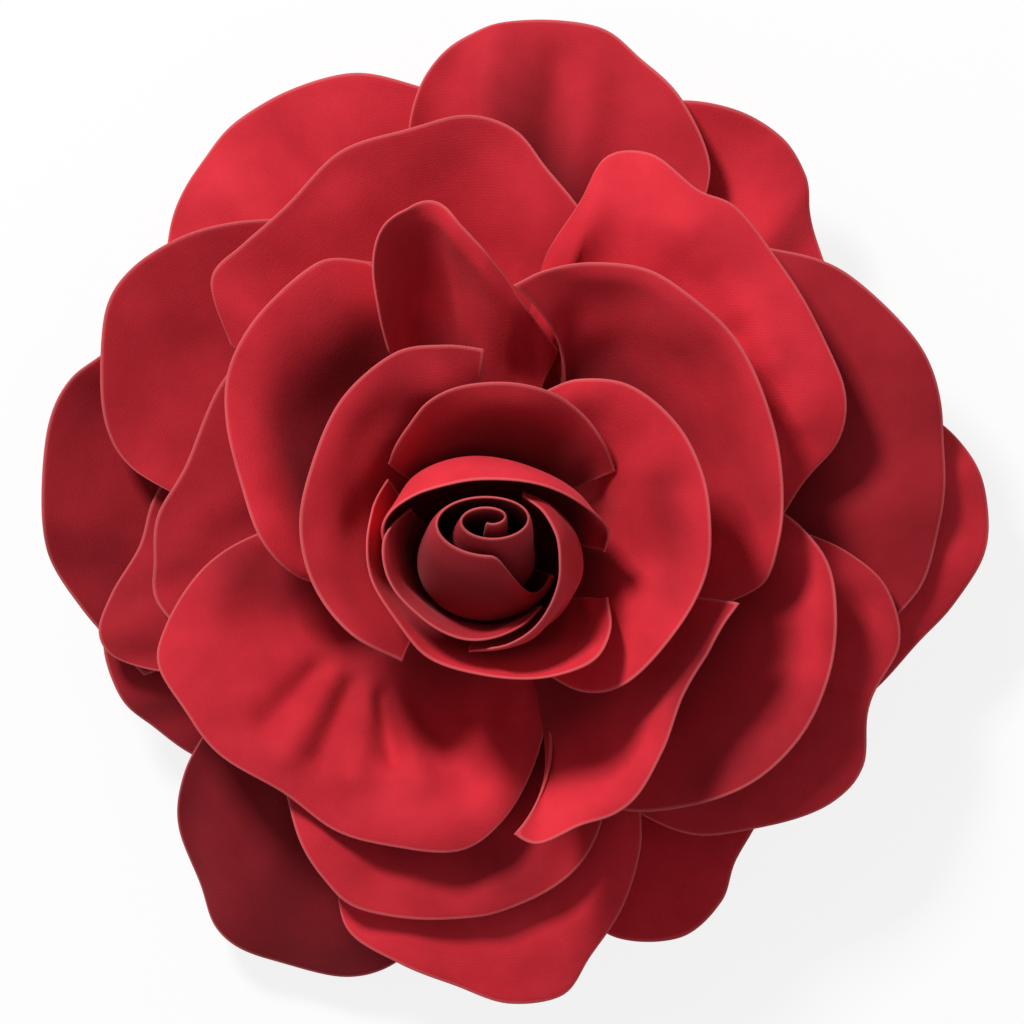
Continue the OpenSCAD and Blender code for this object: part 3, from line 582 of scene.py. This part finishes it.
        [3.8, -7.5, 28.6, 80], [5.8, -5.8, 25, 82]]],
    ["bud_petal_3", 11, 30, 0.85, [[-2.2, -9.6, 28.5, 90], [-0.2, -9.6, 30.4, 94],
        [2, -9.2, 31.6, 98], [4.6, -7.8, 32.4, 108], [6.5, -5.8, 33.2, 114],
        [7.6, -3.4, 33.8, 120], [7.9, -0.9, 34.2, 124], [7.6, 2.3, 34, 122],
        [6, 4.9, 33.2, 114], [3.6, 6.4, 31.4, 102]]]
]
print(len(PETALS), "petals")


# %% A petal's smooth surface
def along(points, u):
    """Smooth curve through the points at each u from 0 to 1."""
    points = np.asarray(points, float)
    last = len(points) - 1
    s = np.minimum(np.asarray(u) * last, last - 1e-6)
    i = np.floor(s).astype(int)
    t = (s - i)[..., None]
    a, b = points[np.maximum(i - 1, 0)], points[i]
    c, d = points[i + 1], points[np.minimum(i + 2, last)]
    return (
        2 * b + (c - a) * t + (2 * a - 5 * b + 4 * c - d) * t**2
        + (3 * b - a - 3 * c + d) * t**3
    ) / 2


def petal_surface(petal, u, v):
    """Middle of a petal's cloth: u along the rim, v from root to rim, in mm."""
    name, root_height, leave, belly, rim_points = petal
    rim4 = along(rim_points, u)
    rim = rim4[:, :3] + (0, 0, PAD_TOP)
    slope = np.radians(rim4[:, 3])
    middle = rim_points[len(rim_points) // 2]
    heading = math.atan2(middle[1], middle[0])
    turn = np.arctan2(rim4[:, 1], rim4[:, 0]) - heading
    turn = (turn + math.pi) % (2 * math.pi) - math.pi
    root_turn = heading + ROOT_SHARE * turn
    r = CORE_FOOT_R + (CORE_TOP_R - CORE_FOOT_R) * root_height / CORE_HEIGHT + CORE_CLOTH_GAP
    root = np.stack([r * np.cos(root_turn), r * np.sin(root_turn),
                     np.full_like(root_turn, PAD_TOP + root_height)], axis=1)
    across = (rim - root)[:, :2]
    reach = np.linalg.norm(across, axis=1)
    h = across / reach[:, None]
    pull = RIM_PULL * (reach + CLIMB_PULL * np.abs(rim[:, 2] - root[:, 2]))
    pull += LEAN_IN_PULL * np.maximum(rim4[:, 3] - 90, 0)
    rise = np.full((len(reach), 1), math.tan(math.radians(leave)))
    b = root + (belly * reach)[:, None] * np.hstack([h, rise])
    c = rim - pull[:, None] * np.hstack([h * np.cos(slope)[:, None], np.sin(slope)[:, None]])
    w = v[:, None, None]
    k = 1 - w
    return k**3 * root + 3 * k**2 * w * b + 3 * k * w**2 * c + w**3 * rim


def cloth_normals(rows):
    """Unit normals of a grid of points, towards the flower's face."""
    out = np.gradient(rows, axis=0)
    side = np.gradient(rows, axis=1)
    n = np.cross(out, side)
    return n / np.maximum(np.linalg.norm(n, axis=2, keepdims=True), 1e-12)


def row_lengths(rows):
    """Running length along each axis of the grid, in mm."""
    down = np.linalg.norm(np.diff(rows, axis=0), axis=2)
    side = np.linalg.norm(np.diff(rows, axis=1), axis=2)
    down = np.vstack([np.zeros((1, rows.shape[1])), np.cumsum(down, axis=0)])
    side = np.hstack([np.zeros((rows.shape[0], 1)), np.cumsum(side, axis=1)])
    return down, side


# %% [markdown]
# ### Folds and ripples
# A pressed petal isn't smooth: the hot tool leaves creases that run out from its
# root, a few rims roll over, two side edges are cut hollow, and the stiffened rim
# waves a little. Each crease or swelling here is a line from one point to
# another, as seen from above, with a width and a height that pushes the cloth out
# or in. Sculpting could do the same, but these lines can be read and changed.
# Waves along the rim come from a few sines with a fixed seed for each petal.

# %% Folds
# petal: [x, y, x, y, width, height], from the flower's axis, all in mm.
FOLDS = {
    "inner_petal_2": [
        [-11.8, -15.5, -10.6, -22, 1.2, -1.2], [-15.2, -14.5, -18.6, -22, 1.5, -1.1],
        [-19, -12.8, -24.4, -18.2, 1.6, -0.9], [-8.8, -15.6, -4.6, -20.5, 1.5, -0.7],
        [-13.4, -15.5, -14.6, -24, 1.6, 0.8], [-9.8, -16.5, -7.4, -25, 1.6, 0.7],
        [-17.4, -13.5, -22, -21.5, 1.6, 0.7]],
    "cup_petal_2": [[16.8, 8.5, 17.2, 0.5, 2.2, 0.5], [20.2, 7, 19, 0, 2.4, -0.8]],
    "third_petal_4": [
        [22, 35, 25, 30, 3.0, 1.0], [28.5, 26.5, 30, 21.5, 2.6, 0.9],
        [27, 23.2, 33, 12.5, 2.2, -1.0], [24.5, 29.5, 26.5, 25, 2.2, -0.6]],
    "second_petal_2": [[0.5, 56, -1, 42, 2.6, 1.8], [8, 54, 5.5, 40, 3.2, -2.0]],
    "outer_petal_6": [[-30, 40, -20, 33, 3, 1.2], [-24, 46, -16, 36, 3, -1.0]],
    "third_petal_2": [[-16, 38, -12, 30, 3, 0.8], [-6, 40, -4, 30, 3, -0.5]],
    "third_petal_1": [[-12, -34, -10, -28, 3, -1.0], [0, -38, 0, -30, 3, 1.0]],
    "second_petal_4": [[40, -6, 34, -8, 2.5, -1.0], [40, -16, 34, -14, 2.5, 1.0]],
}


def near_lines(rows, lines):
    """Sum of soft ridges along lines seen from above, at each point of a grid."""
    total = np.zeros(rows.shape[:2])
    for x0, y0, x1, y1, width, height in lines:
        line = np.array([x1 - x0, y1 - y0])
        to = rows[:, :, :2] - np.array([x0, y0])
        share = np.clip((to @ line) / (line @ line), 0, 1)
        off = np.linalg.norm(to - share[..., None] * line, axis=2)
        total += height * np.exp(-((off / width) ** 2))
    return total


def pressed(name, rows):
    """The grid with its petal's folds pressed in, along the cloth's normals."""
    push = near_lines(rows, FOLDS.get(name, ()))
    return rows + push[..., None] * cloth_normals(rows)


# %% Rolled lips
# petal: [u from, u to, width, bend], where the rim rolls over outwards, in mm.
LIPS = {
    "inner_petal_3": [0.12, 0.62, 2.6, 1.1],
    "inner_petal_1": [0.2, 0.9, 2.2, 0.7],
    "inner_petal_5": [0.25, 0.95, 2.4, 0.8],
}
LIP_FADE = 0.12


def lipped(name, rows, u):
    """The grid with a narrow lip rolled over along a stretch of its rim."""
    if name not in LIPS:
        return rows
    start, stop, width, bend = LIPS[name]
    down = row_lengths(rows)[0]
    near = np.clip(1 - (down[-1:] - down) / width, 0, 1) ** 2
    ease = np.clip(np.minimum(u - start, stop - u) / LIP_FADE, 0, 1)
    ease = ease * ease * (3 - 2 * ease)
    return rows - (bend * near * ease[None, :])[..., None] * cloth_normals(rows)


# %% Hollow side edges
# petal: which end of the rim the edge is at, and how far it bows in, in mm.
BOWS = {"inner_petal_1": [1, 5.5], "inner_petal_5": [0, 4.2]}
BOW_REACH = 0.45
BOW_BLUNT = 0.8


def bowed(name, rows, u, v):
    """The grid with one side edge bowed in towards +X between core and rim."""
    if name not in BOWS:
        return rows
    end, deep = BOWS[name]
    near = np.clip(1 - np.abs(u - end) / BOW_REACH, 0, 1) ** 2
    rows[..., 0] += deep * near[None, :] * (4 * v * (1 - v))[:, None] ** BOW_BLUNT
    return rows


# %% Ripples
RIPPLE = 0.35
RIM_WAVES = (1.0, 1.7, 2.6, 3.9)
RIM_WAVE_LENGTH = 40
SWELL = 0.22
SWELLS = 5


def rippled(rows, u, v, seed):
    """The grid with a wavy rim and a slightly uneven face."""
    rng = np.random.default_rng(seed)
    length = row_lengths(rows)[1][-1, -1]
    push = np.zeros(rows.shape[:2])
    for waves in RIM_WAVES:
        count = waves * length / RIM_WAVE_LENGTH
        along_rim = np.sin(2 * math.pi * (count * u + rng.random()))
        push += RIPPLE / waves * along_rim * (v**2)[:, None]
    for _ in range(SWELLS):
        kx, ky = rng.uniform(1.0, 3.4, 2)
        px, py = rng.random(2)
        wave = np.sin(2 * math.pi * (kx * u[None, :] + px))
        wave = wave * np.sin(2 * math.pi * (ky * v[:, None] + py))
        push += SWELL / 2 * wave * np.sin(math.pi * np.minimum(v, 0.5))[:, None]
    return rows + push[..., None] * cloth_normals(rows)


print(len(FOLDS), "petals with folds,", len(LIPS), "with lips,", len(BOWS), "cut hollow")

# %% [markdown]
# ### From surface to cloth
# The surface becomes cloth with a face, a back and a rounded edge between them.
# A Solidify modifier would leave a square edge, and cut cloth has a soft one.
# A UV map in metres carries the weave along the cloth. One attribute holds each
# point's distance from the cut edge, for the paler rim and its painted highlight,
# and one holds its redness, which is painted light and shade. Each petal has its
# own redness, deeper on petals that lie in shadow and lighter on lit ones, and most
# are darker near the core, where shade falls; a few have lines of painted shadow
# and of painted light.

# %% The edge of the cloth
EDGE_OUT = 0.72
EDGE_UP = 0.7


def edge_ring(n, m):
    """Row and column of each point round the edge of a grid, in order."""
    ring = [(0, j) for j in range(m)] + [(i, m - 1) for i in range(1, n)]
    ring += [(n - 1, j) for j in range(m - 2, -1, -1)] + [(i, 0) for i in range(n - 2, 0, -1)]
    return np.array(ring)


def edge_belts(rows, normals, ring, half):
    """Three rows of points that round the cut edge: upper, outer and lower."""
    inner = np.clip(ring, 1, [rows.shape[0] - 2, rows.shape[1] - 2])
    mid = rows[ring[:, 0], ring[:, 1]]
    out = mid - rows[inner[:, 0], inner[:, 1]]
    up = normals[ring[:, 0], ring[:, 1]]
    out -= (out * up).sum(1, keepdims=True) * up
    out /= np.maximum(np.linalg.norm(out, axis=1, keepdims=True), 1e-9)
    side = mid + out * half * EDGE_OUT
    return [side + up * half * EDGE_UP, mid + out * half, side - up * half * EDGE_UP]


# %% Faces of the cloth
def cloth_faces(n, m, at):
    """Faces of the cloth's face and back, and of the rounded edge between them."""
    k = n * m
    i, j = np.meshgrid(np.arange(n - 1), np.arange(m - 1), indexing="ij")
    a = (i * m + j).ravel()
    faces = [np.stack([a, a + m, a + m + 1, a + 1], 1),
             np.stack([k + a, k + a + 1, k + a + m + 1, k + a + m], 1)]
    steps = np.arange(len(at))
    following = np.roll(steps, -1)
    loops = [at] + [2 * k + belt * len(at) + steps for belt in range(3)] + [k + at]
    for first, second in zip(loops[:-1], loops[1:]):
        faces.append(np.stack([first, first[following], second[following], second], 1))
    return np.concatenate(faces)


# %% The dye of a petal, with painted light and shade
# Each petal's redness at the rim, 0 the deepest, and the share of the way from
# the core at which it reaches that redness. Both are painted light and shade: low
# redness paints a petal in shadow, values above 1 paint a lit one, and the darker
# stretch towards the core is painted shade.
DYE_AND_PAINTED_LIGHT = {
    "outer_petal_1": (0.5, 0.6), "outer_petal_2": (0.2, 0.7), "outer_petal_3": (1.25, 0.4),
    "outer_petal_4": (1.25, 0.4), "outer_petal_5": (1.2, 0.5), "outer_petal_7": (0.65, 0.6),
    "second_petal_1": (0.6, 0.7), "second_petal_2": (0.9, 0.84), "second_petal_3": (0.6, 0.85),
    "second_petal_4": (0.92, 0.5), "second_petal_5": (0.8, 0.6), "second_petal_6": (1.25, 0.5),
    "third_petal_1": (1.0, 0.78), "third_petal_3": (0.75, 0.6), "third_petal_4": (1.25, 0.5),
    "third_petal_5": (0.8, 0.74),
    "inner_petal_1": (1.1, 0.74), "inner_petal_2": (1.05, 0.4), "inner_petal_3": (1.25, 0.6),
    "inner_petal_4": (1.25, 0.9), "inner_petal_5": (1.05, 0.7),
    "cup_petal_1": (0.92, 0.6), "cup_petal_2": (1.25, 0.5), "cup_petal_3": (1.25, 0.2),
    "cup_petal_4": (0.85, 1.0), "bud_petal_1": (1.25, 0.8), "bud_roll": (0.9, 1.1),
}
# Default for other petals, still with painted shade towards the core.
PLAIN_DYE_AND_ROOT_SHADE = (1, 0.6)
# Painted shadows (below 0) and painted light (above 0) along lines on a few petals: a line, its
# half width in mm, and how much.
PAINTED_SHADOWS_AND_LIGHTS = {
    "inner_petal_2": [[-28, -1, -20, -3, 4, -0.65], [-2, -18, 0, -24, 4, 0.25],
                      [-14, -13, -12, -16, 3.5, -0.35]],
    "inner_petal_5": [[22, -14, 27, -8, 4, -0.5], [6, -29, 20, -20, 3, 0.2]],
    "third_petal_5": [[24, -24, 32, -22, 4, -0.3], [35, 0, 35, -12, 2, 0.5]],
    "cup_petal_2": [[18.6, 8, 20, -3, 2.6, -0.45]],
    "cup_petal_1": [[-18, -2, -12, -8, 3, -0.25]],
    "second_petal_2": [[3, 50, 5, 42, 4, -0.4]],
    "third_petal_1": [[0, -34, 4, -35, 4, -0.35]],
    "outer_petal_7": [[-42, -2, -42, -8, 4, -0.25]],
    "inner_petal_1": [[24, 14, 31, 6, 3, -0.35]],
}
# Painted shade towards the root: the share of the rim's redness left there, the span over which
# it fades, and the most redness, with painted light.
ROOT_PAINTED_SHADE = 0.28
ROOT_SHADE_FADE = 0.3
MOST_DYE_AND_LIGHT = 1.25


def dye_with_painted_shade(n, m, dye_and_light, painted_light_patches):
    """The redness at each point of a grid, with painted shade darker towards its first row."""
    out_share = np.linspace(0, 1, n)[:, None]
    rim_dye_and_light, dark_to = dye_and_light
    rising = np.clip((out_share - dark_to + ROOT_SHADE_FADE) / ROOT_SHADE_FADE, 0, 1)
    # Painted shade: darker towards the root.
    dyed = rim_dye_and_light * (ROOT_PAINTED_SHADE + (1 - ROOT_PAINTED_SHADE) * rising**2 * (3 - 2 * rising))
    return np.clip(np.tile(dyed, (1, m)) + painted_light_patches, 0, MOST_DYE_AND_LIGHT).ravel()


# Pieces with their own painted light and shade.
print(len(DYE_AND_PAINTED_LIGHT), "pieces with a dye of their own")


# %% Cloth from a grid of points
def carry(mesh, name, values):
    """Gives each point of the mesh a value that the finish can read."""
    mesh.attributes.new(name, "FLOAT", "POINT").data.foreach_set("value", values)


def cloth_piece(name, rows, thick, look, dye_and_light=PLAIN_DYE_AND_ROOT_SHADE, painted_light_patches=0.0):
    """A closed piece of cloth round a grid of middle points, given in mm."""
    n, m = rows.shape[:2]
    normals = cloth_normals(rows)
    down, side = row_lengths(rows)
    ring = edge_ring(n, m)
    at = ring[:, 0] * m + ring[:, 1]
    half = thick / 2
    top = (rows + normals * half).reshape(-1, 3)
    low = (rows - normals * half).reshape(-1, 3)
    points = np.concatenate([top, low, *edge_belts(rows, normals, ring, half)])
    faces = cloth_faces(n, m, at)
    mesh = bpy.data.meshes.new(name)
    mesh.from_pydata(((points + (0, FLOWER_Y, 0)) * MM).tolist(), [], faces.tolist())
    mesh.polygons.foreach_set("use_smooth", np.ones(len(faces), bool))
    flat = np.stack([side, down], axis=2).reshape(-1, 2)
    spread = np.concatenate([flat, flat, flat[at], flat[at], flat[at]]) * MM
    corner = np.empty(len(mesh.loops), int)
    mesh.loops.foreach_get("vertex_index", corner)
    mesh.uv_layers.new(name="cloth").data.foreach_set("uv", spread[corner].ravel())
    edge = np.minimum.reduce([down[-1:] - down, side, side[:, -1:] - side]).ravel()
    carry(mesh, "edge_mm", np.concatenate([edge, edge, np.zeros(3 * len(ring))]))
    # Redness with painted light and shade, for the finish to read.
    dyed = dye_with_painted_shade(n, m, dye_and_light, painted_light_patches)
    carry(mesh, "dye_and_light", np.concatenate([dyed, dyed, dyed[at], dyed[at], dyed[at]]))
    mesh.materials.append(look)
    mesh.update()
    piece = bpy.data.objects.new(name, mesh)
    bpy.context.scene.collection.objects.link(piece)
    return piece


# %% Hide a cloth piece's solid
def declared_cloth(piece, node):
    """Hides the solid that a cloth piece stands for, and puts the piece on the flower body."""
    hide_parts(node)
    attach(piece, "flower")


# %% Make the petals
PETAL_RIM_POINTS = 97
PETAL_RIB_POINTS = 57
FIRST_SEED = 11

u_steps = np.linspace(0, 1, PETAL_RIM_POINTS)
v_steps = np.linspace(0, 1, PETAL_RIB_POINTS)
for number, petal in enumerate(PETALS):
    petal_name = petal[0]
    petal_rows = petal_surface(petal, u_steps, v_steps)
    petal_rows = rippled(petal_rows, u_steps, v_steps, FIRST_SEED + number)
    petal_rows = pressed(petal_name, petal_rows)
    petal_rows = lipped(petal_name, petal_rows, u_steps)
    petal_rows = bowed(petal_name, petal_rows, u_steps, v_steps)
    # Each petal's cloth gets its painted light and shade, and its lines of painted shadow and
    # light.
    made = cloth_piece(
        petal_name + "_cloth", petal_rows, CLOTH_THICK, petal_cloth,
        DYE_AND_PAINTED_LIGHT.get(petal_name, PLAIN_DYE_AND_ROOT_SHADE), near_lines(petal_rows, PAINTED_SHADOWS_AND_LIGHTS.get(petal_name, ())))
    declared_cloth(made, petal_name)

# %% [markdown]
# ## The rolled bud
# The bud is one long strip of the same cloth, rolled round a foam plug, so that
# from above its edge runs as a spiral. Its outer end stands lower than its
# middle, and the roll leans off the axis.

# %% Bud
BUD_TURNS = 2.25
BUD_CORE_SHARE = 0.38
BUD_TAPER = 0.24
BUD_FOOT = PAD_TOP + CORE_HEIGHT
BUD_HEIGHT = FLOWER_HEIGHT - CORE_HEIGHT
BUD_LAST_TURN = 345
BUD_LONG_POINTS = 161
BUD_TALL_POINTS = 41
BUD_GAP = 0.1
BUD_END = 0.09
BUD_END_DROP = 0.55
BUD_TOP_FALL = 0.07
BUD_TOP_TILT = 0.02
BUD_BRIM = 0.14
BUD_PINCH = 0.06
# At even steps up the bud: its middle's x and y, and its half widths along them, in mm.
BUD_SHAPE = [
    [0, 0, 4.2, 4.2], [-0.4, -0.3, 7, 6.4], [-0.8, -0.3, 8.1, 7],
    [-0.7, 0.6, 8, 6.6], [-0.4, 2.3, 7.6, 5.2], [0, 4.2, 7, 3.3]]


def bud_surface(s, v):
    """Middle of the rolled strip: s along the strip, v up it, in mm."""
    s, v = s[None, :], v[:, None]
    a = np.radians(BUD_LAST_TURN - 360 * BUD_TURNS * (1 - s))
    end = np.clip((s - 1 + BUD_END) / BUD_END, 0, 1)
    top = 1 - BUD_TOP_FALL * s + BUD_TOP_TILT * np.sin(a)
    top = top - BUD_END_DROP * end**2 * (3 - 2 * end)
    h = v * top
    shape = along(BUD_SHAPE, h)
    middle = BUD_CORE_SHARE - BUD_TAPER * h
    share = middle + (1 - middle) * s
    share *= 1 - BUD_PINCH * np.clip((v - 1 + BUD_BRIM) / BUD_BRIM, 0, 1) ** 2
    x = shape[..., 0] + share * shape[..., 2] * np.cos(a)
    y = shape[..., 1] + share * shape[..., 3] * np.sin(a)
    z = BUD_FOOT + BUD_GAP + h * (BUD_HEIGHT - BUD_GAP)
    return np.stack([x, y, z], axis=2)


bud_rows = bud_surface(
    np.linspace(0, 1, BUD_LONG_POINTS), np.linspace(0, 1, BUD_TALL_POINTS))
# The bud's redness is painted shade, darker towards its foot.
bud = cloth_piece("bud_roll_cloth", bud_rows, CLOTH_THICK, petal_cloth, DYE_AND_PAINTED_LIGHT["bud_roll"])
declared_cloth(bud, "bud_roll")

# %% [markdown]
# ## The felt
# A round pad of pressed felt carries the flower, and a strap of thinner felt
# runs under the upper jaw and is glued to the pad on both sides. Both were cut
# with scissors, so their edges are soft and not quite true.

# %% Bevelled solids
SMOOTH_ANGLE = math.radians(40)


def bevelled(piece, name, width, segments):
    """Names a new primitive, makes its place its mesh's own, and rounds its edges."""
    piece.name = name
    bpy.ops.object.transform_apply(location=True, rotation=True, scale=True)
    bpy.ops.object.mode_set(mode="EDIT")
    bpy.ops.mesh.select_all(action="SELECT")
    bpy.ops.mesh.bevel(offset=width * MM, segments=segments, affect="EDGES")
    bpy.ops.object.mode_set(mode="OBJECT")
    bpy.ops.object.shade_smooth_by_angle(angle=SMOOTH_ANGLE)
    print(name, "has", len(piece.data.polygons), "faces")


# %% Felt pad
PAD_R = 20.0
PAD_EDGE = 0.45
PAD_UNEVEN = 0.18
PAD_SEED = 5

bpy.ops.object.select_all(action="DESELECT")
bpy.ops.mesh.primitive_cylinder_add(
    vertices=160, radius=PAD_R * MM, depth=FELT_THICK * MM,
    location=(0, 0, (CLIP_HEIGHT + FELT_THICK / 2) * MM))
felt_pad = bpy.context.active_object
bevelled(felt_pad, "felt_pad_round", PAD_EDGE, 4)
snips = np.random.default_rng(PAD_SEED).uniform(0, 2 * math.pi, 4)
for point in felt_pad.data.vertices:
    turn = math.atan2(point.co.y, point.co.x)
    wave = sum(math.sin((2 + 3 * k) * turn + shift) / (1 + k) for k, shift in enumerate(snips))
    point.co.x -= PAD_UNEVEN * MM * (1 + wave / 2) * math.cos(turn)
    point.co.y -= PAD_UNEVEN * MM * (1 + wave / 2) * math.sin(turn)
felt_pad.data.materials.append(felt)
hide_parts("felt_pad")
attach(felt_pad, "flower")

# %% Felt strap
STRAP_THICK = 0.8
STRAP_FROM = -2.0
STRAP_LENGTH = 12.0
STRAP_PINCH = 0.02
STRAP_POINTS = (25, 73)
# Right half of the strap's way round the jaw, as [x, z] in mm.
STRAP_HALF = [
    [0, 7.6], [2.5, 7.6], [4.8, 7.6], [5.5, 7.75], [5.9, 8.08], [6.5, 8.2], [9, 8.2]]

strap_way = [[-x, z] for x, z in STRAP_HALF[:0:-1]] + STRAP_HALF
across_strap = along(strap_way, np.linspace(0, 1, STRAP_POINTS[1]))
along_strap = np.linspace(STRAP_FROM, STRAP_FROM + STRAP_LENGTH, STRAP_POINTS[0]) - FLOWER_Y
strap_rows = np.empty((*STRAP_POINTS, 3))
strap_rows[..., 0] = across_strap[None, :, 0]
strap_rows[..., 1] = along_strap[:, None]
strap_rows[..., 2] = across_strap[None, :, 1]
strap = cloth_piece("felt_strap_folded", strap_rows, STRAP_THICK - STRAP_PINCH, felt)
declared_cloth(strap, "felt_strap")

# %% [markdown]
# ## Plug and spring
# The plug under the bud is a short tapered stub. The spring is one wire: nearly
# four and a half turns round the pin, and a straight leg that lies along each
# thumb tab. A ring of wire is wound by a Screw modifier, which makes a true coil,
# and the legs are drawn out of its open ends.

# %% Foam plug
PLUG_R = 1.2
PLUG_TIP_R = 0.95
PLUG_EDGE = 0.2
PLUG_HEIGHT = BUD_HEIGHT / 4

bpy.ops.object.select_all(action="DESELECT")
bpy.ops.mesh.primitive_cone_add(
    vertices=48, radius1=PLUG_R * MM, radius2=PLUG_TIP_R * MM, depth=PLUG_HEIGHT * MM,
    location=(0, FLOWER_Y * MM, (BUD_FOOT + PLUG_HEIGHT / 2) * MM))
plug = bpy.context.active_object
bevelled(plug, "bud_plug_foam", PLUG_EDGE, 3)
plug.data.materials.append(core_foam)
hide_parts("bud_plug")
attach(plug, "flower")
print(plug.name, "is", round(PLUG_HEIGHT, 1), "mm high")

# %% Measures of the spring
HINGE = (0, -9.0, CLIP_HEIGHT / 2)
WIRE_R = 0.35
COIL_R = 2.1
COIL_TURNS = 4
COIL_PITCH = 1.15
LEG_SLOPE = 7.0
LEG_LENGTH = 9.57
WINDING_STEPS = 180
WIRE_SIDES = 16
WIRE_SMOOTH_ANGLE = math.radians(50)
COIL_START = LEG_SLOPE - 90
COIL_SWEEP = 360 * COIL_TURNS + 180 - 2 * LEG_SLOPE
COIL_TRAVEL = COIL_PITCH * COIL_SWEEP / 360
print("coil of", round(COIL_SWEEP / 360, 2), "turns")


# %% Ends of the coil and its legs
END_REACH = 1.02


def coil_end(side):
    """Where the coil meets its leg, in mm: side 1 is the lower leg, -1 the upper."""
    turn = math.radians(COIL_START)
    return (
        side * COIL_TRAVEL / 2,
        HINGE[1] + COIL_R * math.cos(turn),
        HINGE[2] + side * COIL_R * math.sin(turn),
    )


def pull_leg(piece, side):
    """Draws the straight leg out of the open end of the coil, and caps it."""
    end = np.array(coil_end(side)) * MM
    for point in piece.data.vertices:
        point.select = float(np.linalg.norm(np.array(point.co) - end)) < END_REACH * WIRE_R * MM
    bpy.ops.object.mode_set(mode="EDIT")
    slope = math.radians(LEG_SLOPE)
    way = np.array([0, -math.cos(slope), -side * math.sin(slope)]) * LEG_LENGTH * MM
    bpy.ops.mesh.extrude_region_move(TRANSFORM_OT_translate={"value": tuple(way)})
    bpy.ops.mesh.edge_face_add()
    bpy.ops.mesh.select_all(action="DESELECT")
    bpy.ops.object.mode_set(mode="OBJECT")


# %% Wind the coil
bpy.ops.object.select_all(action="DESELECT")
bpy.ops.mesh.primitive_circle_add(
    vertices=WIRE_SIDES, radius=WIRE_R * MM, location=[x * MM for x in coil_end(1)],
    rotation=(math.radians(COIL_START), 0, 0))
spring = bpy.context.active_object
spring.name = "torsion_spring_wire"
bpy.context.scene.cursor.location = [x * MM for x in HINGE]
bpy.ops.object.origin_set(type="ORIGIN_CURSOR")
bpy.ops.object.transform_apply(location=False, rotation=True, scale=True)
winding = spring.modifiers.new("winding", "SCREW")
winding.axis = "X"
winding.angle = math.radians(COIL_SWEEP)
winding.screw_offset = -COIL_TRAVEL * MM
winding.steps = WINDING_STEPS
winding.render_steps = WINDING_STEPS
bpy.ops.object.modifier_apply(modifier="winding")
bpy.ops.object.transform_apply(location=True, rotation=True, scale=True)
print("the coil has", len(spring.data.vertices), "points")

# %% Draw out the legs
bpy.ops.object.mode_set(mode="EDIT")
bpy.ops.mesh.select_mode(type="VERT")
bpy.ops.mesh.select_all(action="DESELECT")
bpy.ops.object.mode_set(mode="OBJECT")
for leg_side in (1, -1):
    pull_leg(spring, leg_side)
bpy.ops.object.mode_set(mode="EDIT")
bpy.ops.mesh.select_all(action="SELECT")
bpy.ops.mesh.normals_make_consistent(inside=False)
bpy.ops.object.mode_set(mode="OBJECT")
bpy.ops.object.shade_smooth_by_angle(angle=WIRE_SMOOTH_ANGLE)
spring.data.materials.clear()
spring.data.materials.append(spring_steel)
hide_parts("torsion_spring")
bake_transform(spring)
print(spring.name, "has", len(spring.data.vertices), "points")

# %% [markdown]
# ## Metal and core
# The jaws, the pin and the core are right as they are, so they keep their solids
# and get a finish.

# %% Finishes on the solids
NODE_LOOKS = {
    "clip_upper_jaw": clip_steel, "clip_lower_jaw": clip_steel, "hinge_pin": pin_steel,
    "petal_core": core_plastic,
}
for node_name, look in NODE_LOOKS.items():
    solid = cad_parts[node_name]
    solid.data.materials.clear()
    solid.data.materials.append(look)
print("finished", len(NODE_LOOKS), "solids")
